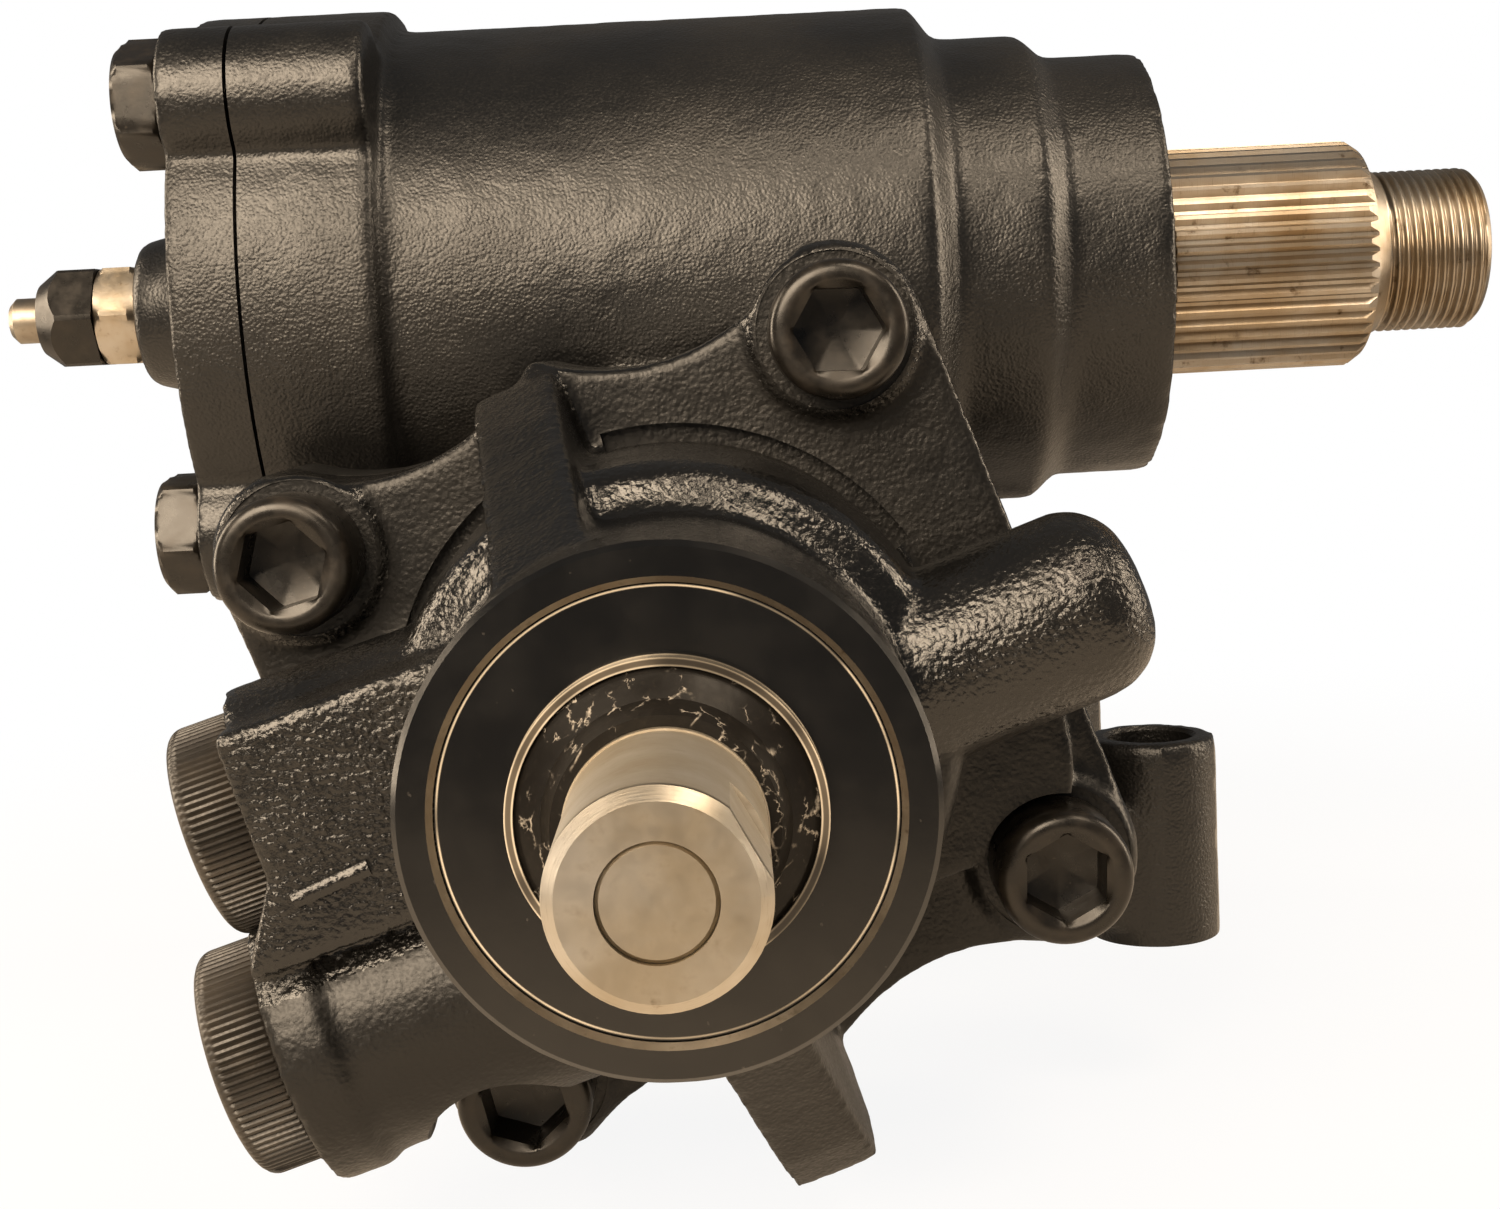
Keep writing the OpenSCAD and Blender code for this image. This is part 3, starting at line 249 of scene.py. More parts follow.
class Graph:
    """A material's node tree with one Principled shader."""

    def __init__(self, name: str) -> None:
        """Makes the material.

        Args:
            name: The material's name.
        """
        self.material = bpy.data.materials.new(name)
        self.material.use_nodes = True
        self.tree = self.material.node_tree
        self.tree.nodes.clear()
        self.output = self.tree.nodes.new("ShaderNodeOutputMaterial")

    def add(
        self,
        kind: str,
        settings: dict[str, object] | None = None,
        sockets: dict[int | str, object] | None = None,
        out: int | str = 0,
    ) -> Signal:
        """Adds any node, sets it and links it.

        Args:
            kind: The node's type name.
            settings: Properties to set first.
            sockets: Values or signals for its inputs.
            out: The output to return.

        Returns:
            The chosen output.
        """
        node = self.tree.nodes.new(kind)
        for key, value in (settings or {}).items():
            setattr(node, key, value)
        for key, value in (sockets or {}).items():
            socket = node.inputs[key]
            if isinstance(value, Signal):
                self.tree.links.new(value.socket, socket)
            else:
                socket.default_value = value
        return Signal(self, node.outputs[out])

    def place(self) -> Signal:
        """Object coordinates in metres."""
        return self.add("ShaderNodeTexCoord", out="Object")

    def shifted(self, place: Signal, offset: Vector, stretch: Vector | None = None) -> Signal:
        """Coordinates moved and stretched.

        Args:
            place: Coordinates to change.
            offset: Shift, added first.
            stretch: Factors for each axis.

        Returns:
            The changed coordinates.
        """
        moved = self.add("ShaderNodeVectorMath", {"operation": "ADD"}, {0: place, 1: offset})
        if stretch is None:
            return moved
        return self.add("ShaderNodeVectorMath", {"operation": "MULTIPLY"}, {0: moved, 1: stretch})

    def drifted(self, place: Signal, noisy: Signal, amount: float) -> Signal:
        """Coordinates pushed aside by a noise value.

        Args:
            place: Coordinates to change.
            noisy: Noise value.
            amount: Push in metres at full noise.

        Returns:
            The changed coordinates.
        """
        sockets = {0: noisy, 1: (amount,) * 3, 2: place}
        return self.add("ShaderNodeVectorMath", {"operation": "MULTIPLY_ADD"}, sockets)

    def reach(self, place: Signal) -> Signal:
        """Distance from the origin of the coordinates."""
        return self.add("ShaderNodeVectorMath", {"operation": "LENGTH"}, {0: place}, "Value")

    def speckle(self, place: Signal, scale: float, detail: float = 3.0, rough: float = 0.55) -> Signal:
        """Noise value.

        Args:
            place: Coordinates.
            scale: Features per metre.
            detail: Number of finer layers.
            rough: Strength of the finer layers.

        Returns:
            Noise from 0 to 1.
        """
        sockets = {"Vector": place, "Scale": scale, "Detail": detail, "Roughness": rough}
        return self.add("ShaderNodeTexNoise", None, sockets)

    def cells(self, place: Signal, scale: float, feature: str = "SMOOTH_F1") -> Signal:
        """Cell pattern distance.

        Args:
            place: Coordinates.
            scale: Cells per metre.
            feature: Which distance to use.

        Returns:
            Distance value.
        """
        sockets = {"Vector": place, "Scale": scale}
        return self.add("ShaderNodeTexVoronoi", {"feature": feature}, sockets, "Distance")

    def blend(self, mask: Signal, first: object, second: object) -> Signal:
        """Mixes two colours.

        Args:
            mask: 0 gives the first colour, 1 the second.
            first: Colour or signal.
            second: Colour or signal.

        Returns:
            The mixed colour.
        """
        sockets = {"Factor": mask, 6: self._rgba(first), 7: self._rgba(second)}
        return self.add("ShaderNodeMix", {"data_type": "RGBA"}, sockets, 2)

    @staticmethod
    def _rgba(colour: object) -> object:
        """A colour with its alpha, or the signal as it is."""
        return colour if isinstance(colour, Signal) else (*colour, 1.0)

    def bump(self, height: Signal, strength: float, distance: float) -> Signal:
        """Normal from a height.

        Args:
            height: Height value.
            strength: Strength from 0 to 1.
            distance: Height in metres of a full step.

        Returns:
            The bent normal.
        """
        sockets = {"Strength": strength, "Distance": distance, "Height": height}
        return self.add("ShaderNodeBump", None, sockets, "Normal")

    def finish(self, **sockets: object) -> bpy.types.Material:
        """Adds the Principled shader and links it to the output.

        Args:
            **sockets: Values or signals by socket name, with underscores for spaces.

        Returns:
            The finished material.
        """
        named = {key.replace("_", " "): value for key, value in sockets.items()}
        self.show(self.add("ShaderNodeBsdfPrincipled", None, named))
        return self.material

    def sight(self, mirrored: float) -> Signal:
        """Share of the white room that a ray sees: all for the camera, a part for reflections and glass.

        Args:
            mirrored: Share for glossy and transmitted rays.

        Returns:
            The share, from 0 to 1.
        """
        kinds = ("Is Camera Ray", "Is Glossy Ray", "Is Transmission Ray")
        camera, glossy, through = (self.add("ShaderNodeLightPath", out=kind) for kind in kinds)
        return camera.high(glossy.high(through) * mirrored)

    def show(self, shader: Signal) -> None:
        """Links a shader to the output.

        Args:
            shader: The shader to show.
        """
        self.tree.links.new(shader.socket, self.output.inputs[0])


class WorldGraph(Graph):
    """A world's node tree."""

    def __init__(self, world: bpy.types.World) -> None:
        """Clears the world's nodes.

        Args:
            world: The world to light.
        """
        world.use_nodes = True
        self.tree = world.node_tree
        self.tree.nodes.clear()
        self.output = self.tree.nodes.new("ShaderNodeOutputWorld")


@dataclass(frozen=True)
class CastEnamel:
    """Gloss black enamel over a pebbled casting."""

    name: str = "cast_enamel"
    dark: Colour = (0.0034, 0.0035, 0.0037)
    warm: Colour = (0.0078, 0.0073, 0.0067)
    pebbles: float = 1350.0
    relief: float = 0.00026
    gloss: float = 0.14
    shine: float = 0.5

    def material(self) -> bpy.types.Material:
        """Builds the shader.

        Returns:
            The finished material.
        """
        g = Graph(self.name)
        place = g.place()
        bent = g.drifted(place, g.speckle(place, 420, 2, 0.5), 0.6 * MM)
        pebbles = g.cells(bent, self.pebbles)
        grains = g.speckle(place, 2300, 2, 0.55)
        swell = g.speckle(place, 240, 2, 0.5)
        flow = g.speckle(place, 34, 3, 0.5)
        patches = flow.between(0.36, 0.66, 0.45, 1.0)
        height = ((0.8 - pebbles) * 0.9 + grains * 0.55) * patches + swell * 0.8
        tint = g.blend(flow.between(0.35, 0.75), self.dark, self.warm)
        rough = grains.between(0.3, 0.8) * 0.14 + flow.between(0.35, 0.7) * 0.10 + self.gloss
        normal = g.bump(height, 1.0, self.relief)
        return g.finish(Base_Color=tint, Roughness=rough, Specular_IOR_Level=self.shine, Normal=normal)


@dataclass(frozen=True)
class TurnedEnamel:
    """Thin black enamel over a machined face."""

    name: str = "turned_enamel"
    colour: Colour = (0.0023, 0.0024, 0.0026)

    def material(self) -> bpy.types.Material:
        """Builds the shader.

        Returns:
            The finished material.
        """
        g = Graph(self.name)
        place = g.place()
        film = g.speckle(place, 150, 3, 0.5)
        dust = g.speckle(place, 2600, 2, 0.6)
        return g.finish(
            Base_Color=self.tint(g, place),
            Roughness=film.between(0.3, 0.75, 0.17, 0.27),
            Normal=g.bump(film * 0.8 + dust * 0.10, 0.14, 0.0002),
        )

    def tint(self, g: Graph, place: Signal) -> Signal:
        """Colour of the film, with a few pale specks.

        Args:
            g: The shader's graph.
            place: Object coordinates.

        Returns:
            The colour.
        """
        specks = g.speckle(g.shifted(place, Vector((0.4, 0.2, 0.3))), 900, 2, 0.5)
        return g.blend(specks.between(0.72, 0.78, 0, 0.35), self.colour, (0.07, 0.065, 0.06))


@dataclass(frozen=True)
class PlugEnamel(TurnedEnamel):
    """Enamel of the bearing plug, with painted highlight lines along its round edges."""

    name: str = "plug_enamel"
    centre: Vector = field(default_factory=Vector)
    lip: Point = (16.15, 16.95)
    rim: float = 24.25
    width: float = 0.18
    # Colour of the painted highlights: pale rings on the round edges that stand in for the light those edges
    # catch
    painted_highlight: Colour = (0.50, 0.45, 0.37)
    worn: Colour = (0.085, 0.072, 0.056)

    def tint(self, g: Graph, place: Signal) -> Signal:
        """Colour of the film, the worn lip and the painted highlight lines on the round edges.

        Args:
            g: The shader's graph.
            place: Object coordinates.

        Returns:
            The colour.
        """
        reach = g.reach(g.shifted(place, -self.centre, Vector((1, 0, 1)))) / MM
        patches = g.speckle(place, 90, 2, 0.5).between(0.36, 0.58, 0.25, 1.0)
        inner, outer = self.lip
        band = reach.between(inner - 0.1, inner) * reach.between(outer, outer + 0.1, 1.0, 0.0)
        tone = g.blend(band * patches, super().tint(g, place), self.worn)
        # Paints a highlight line on each edge of the lip and on the rim, in place of light caught by those
        # round edges
        for edge in (inner, outer, self.rim):
            off = reach - edge
            line = off.high(off * -1).between(0.0, self.width, 1.0, 0.0)
            tone = g.blend(line * patches, tone, self.painted_highlight)
        return tone


@dataclass(frozen=True)
class OiledSteel:
    """Bare machined steel with a yellowish film of oil and brown stains."""

    name: str = "oiled_steel"
    bright: Colour = (0.47, 0.44, 0.40)
    tan: Colour = (0.34, 0.28, 0.20)
    stain: Colour = (0.085, 0.052, 0.024)
    grain: Vector = field(default_factory=lambda: Vector((1, 1, 1)))
    rough: float = 0.30
    stained: float = 0.64

    def material(self) -> bpy.types.Material:
        """Builds the shader.

        Returns:
            The finished material.
        """
        g = Graph(self.name)
        place = g.place()
        drawn = g.shifted(place, Vector((0, 0, 0)), self.grain)
        lines = g.speckle(drawn, 900, 3, 0.6)
        film = g.speckle(place, 70, 4, 0.6)
        spots = g.speckle(g.shifted(place, Vector((0.3, 0.1, 0.2))), 260, 4, 0.65)
        tone = g.blend(film.between(0.3, 0.7), self.bright, self.tan)
        tone = g.blend(lines.between(0.55, 0.8, 0, 0.4), tone, self.stain)
        tone = g.blend(spots.between(self.stained, self.stained + 0.14, 0, 0.85), tone, self.stain)
        rough = lines * 0.22 + film * 0.14 + self.ground(g, place) - 0.12
        return g.finish(
            Base_Color=tone,
            Metallic=1.0,
            Roughness=rough,
            Normal=g.bump(lines * 0.7 + film * 0.3, 0.18, 0.00012),
        )

    def ground(self, g: Graph, place: Signal) -> Signal | float:
        """Roughness of the bare metal.

        Args:
            g: The shader's graph; not used here.
            place: Object coordinates; not used here.

        Returns:
            The roughness before lines and film are added.
        """
        return self.rough


@dataclass(frozen=True)
class ShaftSteel(OiledSteel):
    """Pale steel of the input shaft, with a bright turned end and duller ground sides."""

    name: str = "shaft_steel"
    bright: Colour = (0.49, 0.465, 0.42)
    tan: Colour = (0.36, 0.315, 0.245)
    grain: Vector = field(default_factory=lambda: Vector((0.4, 9, 0.4)))
    stained: float = 0.72
    tip: float = 0.0
    side_rough: float = 0.50

    def ground(self, g: Graph, place: Signal) -> Signal | float:
        """Roughness that steps up behind the end's chamfer.

        Args:
            g: The shader's graph.
            place: Object coordinates.

        Returns:
            The roughness before lines and film are added.
        """
        behind = (g.add("ShaderNodeSeparateXYZ", None, {0: place}, "Y") - self.tip) / MM
        return behind.between(1.6, 2.6, self.rough, self.side_rough)


@dataclass(frozen=True)
class BlackOxide:
    """Black oxide over steel, with a little oil and rubbed specks."""

    name: str = "black_oxide"
    colour: Colour = (0.0085, 0.0074, 0.0062)

    def material(self) -> bpy.types.Material:
        """Builds the shader.

        Returns:
            The finished material.
        """
        g = Graph(self.name)
        place = g.place()
        film = g.speckle(place, 300, 4, 0.6)
        specks = g.speckle(g.shifted(place, Vector((0.2, 0.4, 0.1))), 1500, 3, 0.6)
        tone = g.blend(film.between(0.4, 0.8), self.colour, (0.022, 0.018, 0.014))
        tone = g.blend(specks.between(0.66, 0.8, 0, 0.35), tone, (0.12, 0.10, 0.075))
        return g.finish(
            Base_Color=tone,
            Metallic=0.25,
            Roughness=film.between(0.25, 0.8, 0.24, 0.42),
            Normal=g.bump(film * 0.7 + specks * 0.3, 0.2, 0.00015),
        )


@dataclass(frozen=True)
class SealRubber:
    """Seal under a skin of enamel that has cracked and lifted."""

    name: str = "seal_rubber"
    colour: Colour = (0.0065, 0.0058, 0.0052)
    cracked: float = 0.0

    def material(self) -> bpy.types.Material:
        """Builds the shader.

        Returns:
            The finished material.
        """
        g = Graph(self.name)
        place = g.place()
        dust = g.speckle(place, 1300, 3, 0.6)
        folds = g.speckle(place, 190, 3, 0.6)
        bent = g.drifted(place, g.speckle(place, 900, 3, 0.6), 2.2 * MM)
        veins = 1 - g.cells(bent, 330, "DISTANCE_TO_EDGE").between(0.0, 0.055)
        veins = veins * folds.between(0.5, 0.58) * dust.between(0.35, 0.6) * self.cracked
        tone = g.blend(dust.between(0.5, 0.85), self.colour, (0.014, 0.012, 0.010))
        tone = g.blend(veins, tone, (0.36, 0.33, 0.29))
        return g.finish(
            Base_Color=tone,
            Roughness=folds.between(0.3, 0.7, 0.3, 0.5),
            Specular_IOR_Level=0.15,
            Normal=g.bump(veins * 0.8 + dust * 0.12 + folds * 0.5, 0.5, 0.0003),
        )


@dataclass(frozen=True)
class CapPlastic:
    """Dark moulded plastic of the port caps, dusty in the grooves."""

    name: str = "cap_plastic"
    colour: Colour = (0.0105, 0.0085, 0.0066)

    def material(self) -> bpy.types.Material:
        """Builds the shader.

        Returns:
            The finished material.
        """
        g = Graph(self.name)
        place = g.place()
        haze = g.speckle(place, 120, 4, 0.6)
        grit = g.speckle(place, 2600, 2, 0.6)
        tone = g.blend(haze.between(0.4, 0.75), self.colour, (0.030, 0.024, 0.018))
        return g.finish(
            Base_Color=tone,
            Roughness=grit.between(0.2, 0.8, 0.34, 0.52),
            Normal=g.bump(grit * 0.5 + haze * 0.3, 0.2, 0.00012),
        )


@dataclass(frozen=True)
class TurnedBrass:
    """Brass of the pipe seats."""

    name: str = "turned_brass"
    colour: Colour = (0.66, 0.5, 0.24)

    def material(self) -> bpy.types.Material:
        """Builds the shader.

        Returns:
            The finished material.
        """
        g = Graph(self.name)
        tarnish = g.speckle(g.place(), 320, 4, 0.6)
        tone = g.blend(tarnish.between(0.4, 0.75), self.colour, (0.36, 0.25, 0.11))
        return g.finish(Base_Color=tone, Metallic=1.0, Roughness=tarnish.between(0.2, 0.8, 0.22, 0.45))


class Finishes:
    """Every material of the gearbox, made once."""

    def __init__(self) -> None:
        """Makes the materials."""
        self.cast = CastEnamel().material()
        flat = CastEnamel("flat_enamel", pebbles=1500.0, relief=0.00012, gloss=0.30, shine=0.34)
        self.flat = flat.material()
        self.satin = CastEnamel(name="satin_enamel", pebbles=2100.0, relief=0.00015, gloss=0.29).material()
        self.turned = TurnedEnamel().material()
        self.oxide = BlackOxide().material()
        self.seal = SealRubber().material()
        self.cracked_seal = SealRubber(name="cracked_seal", cracked=0.9).material()
        self.cap = CapPlastic().material()
        self.brass = TurnedBrass().material()
        self.steel = OiledSteel().material()
        across = Vector((9, 0.4, 0.4))
        dim, brown = (0.39, 0.36, 0.32), (0.28, 0.22, 0.15)
        self.sector_steel = OiledSteel("sector_steel", dim, brown, grain=across, stained=0.6).material()
        self.worn = OiledSteel("worn_edge", (0.36, 0.33, 0.28), (0.24, 0.20, 0.155), rough=0.36).material()

    def by_slot(self, slot: str) -> bpy.types.Material:
        """The material for one of the record's slots.

        Args:
            slot: Name of the slot.

        Returns:
            Its material.
        """
        return {
            "black_enamel": self.cast,
            "bare_steel": self.steel,
            "black_oxide": self.oxide,
            "seal_rubber": self.seal,
            "cap_plastic": self.cap,
            "brass": self.brass,
        }[slot]


def stepped(start: float, *steps: Point) -> list[Point]:
    """Profile of a stepped bar or bore.

    Args:
        start: Where the first step starts.
        *steps: Radius and end of each step, in order.

    Returns:
        Radius and height of each corner, closed at both ends.
    """
    profile: list[Point] = [(0, start)]
    for radius, end in steps:
        profile += [(radius, start), (radius, end)]
        start = end
    return [*profile, (0, start)]


class Blank:
    """A mesh under construction from closed solids, in metres."""

    def __init__(self) -> None:
        """Starts empty."""
        self.points: list[Vector] = []
        self.faces: list[tuple[int, ...]] = []

    def lathe(
        self,
        profile: Sequence[Point],
        axis: Axis,
        frame: Matrix,
        columns: int = 96,
        swell: Callable[[float, float, float], float] | None = None,
    ) -> "Blank":
        """Adds a turned solid.

        Args:
            profile: Radius and height of each ring in millimetres; a radius of 0 closes an end, and a
                profile that ends where it starts is a closed ring.
            axis: Axis of the turning.
            frame: Frame that the profile is in.
            columns: Number of points around.
            swell: Optional radius from radius, height and angle.

        Returns:
            This blank.
        """
        u, v, w = axis.value
        rings: list[list[int]] = []
        closed = profile[0] == profile[-1]
        for radius, height in profile[:-1] if closed else profile:
            ring = []
            for c in range(1 if radius <= 0 else columns):
                angle = TAU * c / columns
                r = swell(radius, height, angle) if swell and radius > 0 else radius
                ring.append(len(self.points))
                spot = (u * math.cos(angle) + v * math.sin(angle)) * r + w * height
                self.points.append(frame @ (spot * MM))
            rings.append(ring)
        if closed:
            rings.append(rings[0])
        for lower, upper in zip(rings, rings[1:]):
            self._band(lower, upper, columns)
        return self

    def _band(self, lower: list[int], upper: list[int], columns: int) -> None:
        """Joins two rings with faces.

        Args:
            lower: Points of the first ring, or one point.
            upper: Points of the second ring, or one point.
            columns: Number of points around.
        """
        for c in range(columns):
            d = (c + 1) % columns
            if len(lower) == 1:
                self.faces.append((lower[0], upper[d], upper[c]))
            elif len(upper) == 1:
                self.faces.append((lower[c], lower[d], upper[0]))
            else:
                self.faces.append((lower[c], lower[d], upper[d], upper[c]))

    def rod(
        self, start: float, end: float, radius: float, axis: Axis, frame: Matrix, columns: int = 64
    ) -> "Blank":
        """Adds a plain round bar.

        Args:
            start: Start along the axis in millimetres.
            end: End along the axis.
            radius: Radius.
            axis: Axis of the bar.
            frame: Frame that it is in.
            columns: Number of points around.

        Returns:
            This blank.
        """
        return self.lathe(stepped(start, (radius, end)), axis, frame, columns)

    def prism(self, outline: Sequence[Point], start: float, end: float, axis: Axis, frame: Matrix) -> "Blank":
        """Adds an extruded solid.

        Args:
            outline: Corners in the axis's two cross directions, counter-clockwise.
            start: Start along the axis in millimetres.
            end: End along the axis.
            axis: Axis of the extrusion.
            frame: Frame that it is in.

        Returns:
            This blank.
        """
        u, v, w = axis.value
        count = len(outline)
        base = len(self.points)
        for height in (start, end):
            for a, b in outline:
                self.points.append(frame @ ((u * a + v * b + w * height) * MM))
        self.faces.append(tuple(base + i for i in reversed(range(count))))
        self.faces.append(tuple(base + count + i for i in range(count)))
        for i in range(count):
            j = (i + 1) % count
            self.faces.append((base + i, base + j, base + count + j, base + count + i))
        return self

    def mesh(self, name: str) -> bpy.types.Mesh:
        """Makes a mesh with outward faces.

        Args:
            name: The mesh's name.

        Returns:
            The mesh.
        """
        made = bpy.data.meshes.new(name)
        made.from_pydata([tuple(p) for p in self.points], [], self.faces)
        work = bmesh.new()
        work.from_mesh(made)
        bmesh.ops.recalc_face_normals(work, faces=work.faces)
        work.to_mesh(made)
        work.free()
        return made


class Workshop:
    """Makes objects from blanks: casting, cutting and dressing."""

    # Features per metre and share of each layer of a cast skin's ripple
    RIPPLES = ((210, 0.6), (520, 0.4))

    @staticmethod
    def link(name: str, mesh: bpy.types.Mesh) -> bpy.types.Object:
        """Makes an object for a mesh and links it to the scene.

        Args:
            name: The object's name.
            mesh: Its mesh.

        Returns:
            The object.
        """
        made = bpy.data.objects.new(name, mesh)
        bpy.context.scene.collection.objects.link(made)
        return made

    @staticmethod
    def settled(work: bpy.types.Object, name: str) -> bpy.types.Mesh:
        """Applies an object's modifiers to a new mesh.

        Args:
            work: Object with modifiers.
            name: Name for the mesh.

        Returns:
            The resulting mesh.
        """
        graph = bpy.context.evaluated_depsgraph_get()
        made = bpy.data.meshes.new_from_object(work.evaluated_get(graph))
        made.name = name
        return made

    @staticmethod
    def discard(work: bpy.types.Object) -> None:
        """Removes an object and its mesh.

        Args:
            work: The object.
        """
        mesh = work.data
        bpy.data.objects.remove(work)
        bpy.data.meshes.remove(mesh)

    @classmethod
    def cast(cls, blank: Blank, name: str, voxel: float, rounds: int, ripple: float) -> bpy.types.Mesh:
        """Fuses a blank's solids into one casting with rounded edges and a rippled skin.

        Args:
            blank: Overlapping closed solids.
            name: Name for the mesh.
            voxel: Cell size in millimetres.
            rounds: Smoothing passes.
            ripple: Height of the skin's ripple in millimetres.

        Returns:
            The cast mesh.
        """
        work = cls.link(name + "_pattern", blank.mesh(name + "_pattern"))
        fuse = work.modifiers.new("fuse", "REMESH")
        fuse.mode = "VOXEL"
        fuse.voxel_size = voxel * MM
        ease = work.modifiers.new("ease", "SMOOTH")
        ease.factor = 0.5
        ease.iterations = rounds
        made = cls.settled(work, name)
        cls.discard(work)
        cls._ripple(made, ripple * MM)
        return made

    @staticmethod
    def _vectors(items: bpy.types.bpy_prop_collection, name: str) -> np.ndarray:
        """Reads one vector of every item.

        Args:
            items: Points, faces or normals of a mesh.
            name: Name of the vector.

        Returns:
            The vectors as rows.
        """
        found = np.empty(len(items) * 3, np.float32)
        items.foreach_get(name, found)
        return found.reshape(-1, 3)

    @classmethod
    def _ripple(cls, mesh: bpy.types.Mesh, height: float) -> None:
        """Moves points along their normals by soft noise.

        Args:
            mesh: Mesh to change.
            height: Largest move in metres.
        """
        spots = cls._vectors(mesh.vertices, "co")
        normals = cls._vectors(mesh.vertex_normals, "vector")
        lift = np.array([
            sum(noise.noise(spot * scale) * share for scale, share in cls.RIPPLES)
            for spot in map(Vector, spots.tolist())
        ])
        spots += normals * (lift * height)[:, None].astype(np.float32)
        mesh.vertices.foreach_set("co", spots.ravel())
        mesh.update()

    @classmethod
    def cut(cls, mesh: bpy.types.Mesh, tools: Sequence[tuple[Blank, Cut]], name: str) -> bpy.types.Mesh:
        """Cuts a mesh with tool solids, one after another.

        Args:
            mesh: Closed mesh.
            tools: Each tool and how it is used.
            name: Name for the result.

        Returns:
            The cut mesh.
        """
        work = cls.link(name + "_work", mesh)
        helpers = []
        for index, (blank, way) in enumerate(tools):
            tool = cls.link(f"{name}_tool{index}", blank.mesh(f"{name}_tool{index}"))
            tool.hide_render = True
            step = work.modifiers.new(f"cut{index}", "BOOLEAN")
            step.object = tool
            step.operation = way.value
            step.solver = "MANIFOLD"
            helpers.append(tool)
        made = cls.settled(work, name)
        for tool in helpers:
            cls.discard(tool)
        cls.discard(work)
        return made

    @classmethod
    def dress(
        cls,
        mesh: bpy.types.Mesh,
        materials: Sequence[bpy.types.Material],
        sharp: float = 35.0,
        pick: Callable[[np.ndarray, np.ndarray], np.ndarray] | None = None,
    ) -> None:
        """Gives a mesh its materials and shading.

        Args:
            mesh: Mesh to dress.
            materials: Materials by index.
            sharp: Angle in degrees over which an edge stays sharp.
            pick: Optional choice of a material index from face centres in millimetres and face normals.
        """
        mesh.materials.clear()
        for material in materials:
            mesh.materials.append(material)
        mesh.shade_smooth()
        mesh.set_sharp_from_angle(angle=math.radians(sharp))
        if pick is None:
            return
        centres, normals = (cls._vectors(mesh.polygons, name) for name in ("center", "normal"))
        mesh.polygons.foreach_set("material_index", pick(centres / MM, normals).astype(np.int32))

    @classmethod
    def piece(cls, name: str, mesh: bpy.types.Mesh, body: str, slot: str, *nodes: str) -> None:
        """Makes a finished piece that stands for CAD nodes.

        Args:
            name: The piece's name.
            mesh: Its mesh.
            body: Body that it rides on.
            slot: Material slot in the record; not used.
            *nodes: Nodes that it stands for.
        """
        made = cls.link(name, mesh)
        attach(made, body)
        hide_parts(*nodes)
        LOG.info("%s: %d points", name, len(mesh.vertices))


def box(low_u: float, high_u: float, low_v: float, high_v: float) -> list[Point]:
    """Corners of a rectangle.

    Args:
        low_u: Lower limit in the first cross direction.
        high_u: Upper limit in the first cross direction.
        low_v: Lower limit in the second cross direction.
        high_v: Upper limit in the second cross direction.

    Returns:
        The corners, counter-clockwise.
    """
    return [(low_u, low_v), (high_u, low_v), (high_u, high_v), (low_u, high_v)]


def square(half: float) -> list[Point]:
    """Corners of a square about the origin."""
    return box(-half, half, -half, half)


def arc(centre: Point, radius: float, start: float, end: float, steps: int = 12) -> list[Point]:
    """Points along an arc.

    Args:
        centre: Centre of the arc.
        radius: Radius.
        start: Start angle in degrees.
        end: End angle in degrees.
        steps: Number of steps.

    Returns:
        The points, both ends included.
    """
    angles = [math.radians(start + (end - start) * i / steps) for i in range(steps + 1)]
    return [(centre[0] + radius * math.cos(a), centre[1] + radius * math.sin(a)) for a in angles]


@dataclass(frozen=True)
class ValveFlange:
    """Outline that the valve housing and the gear housing share at their joint, as Z and X pairs."""

    half: float = LAYOUT.bolt_half
    lug: float = 12.0
    top_hollow: float = 7.0
    bottom_hollow: float = 4.5
    hollow_r: float = 30.0
    steps: int = 12

    def solids(self, blank: Blank, start: float, end: float) -> None:
        """Adds the flange to a blank.

        Args:
            blank: Blank to add to.
            start: Front face along Y in millimetres.
            end: Back face along Y.
        """
        blank.prism(self.outline(), start, end, Axis.Y, LAYOUT.valve())

    def outline(self) -> list[Point]:
        """Outline of the flange.

        Returns:
            Its corners as Z and X pairs, counter-clockwise about Y.
        """
        edge = self.half + self.lug
        corners = [
            *arc((self.half, self.half), self.lug, 0, 90),
            *arc((-self.half, self.half), self.lug, 90, 180),
            *self._hollows(-1, self.bottom_hollow),
            *arc((-self.half, -self.half), self.lug, 180, 270),
            *arc((self.half, -self.half), self.lug, 270, 360),
            *self._hollows(1, self.top_hollow),
        ]
        return [(z if abs(z) < edge else math.copysign(edge, z), x) for z, x in corners]

    def _hollows(self, side: int, depth: float) -> list[Point]:
        """Points along the hollowed top or bottom edge.

        Args:
            side: 1 for the top edge, -1 for the bottom edge.
            depth: Depth of the hollows.

        Returns:
            Points from one lug to the other.
        """
        edge = self.half + self.lug
        spread = math.sqrt(self.hollow_r**2 - (self.hollow_r - depth) ** 2)
        points = []
        for centre in (side * self.half / 2, -side * self.half / 2):
            for i in range(self.steps + 1):
                x = centre + spread * (2 * i / self.steps - 1) * side
                drop = math.sqrt(max(self.hollow_r**2 - (x - centre) ** 2, 0)) - (self.hollow_r - depth)
                points.append((side * (edge - drop), x))
        points.sort(key=lambda p: p[1] * side)
        return [p for p in points if abs(p[1]) < self.half]


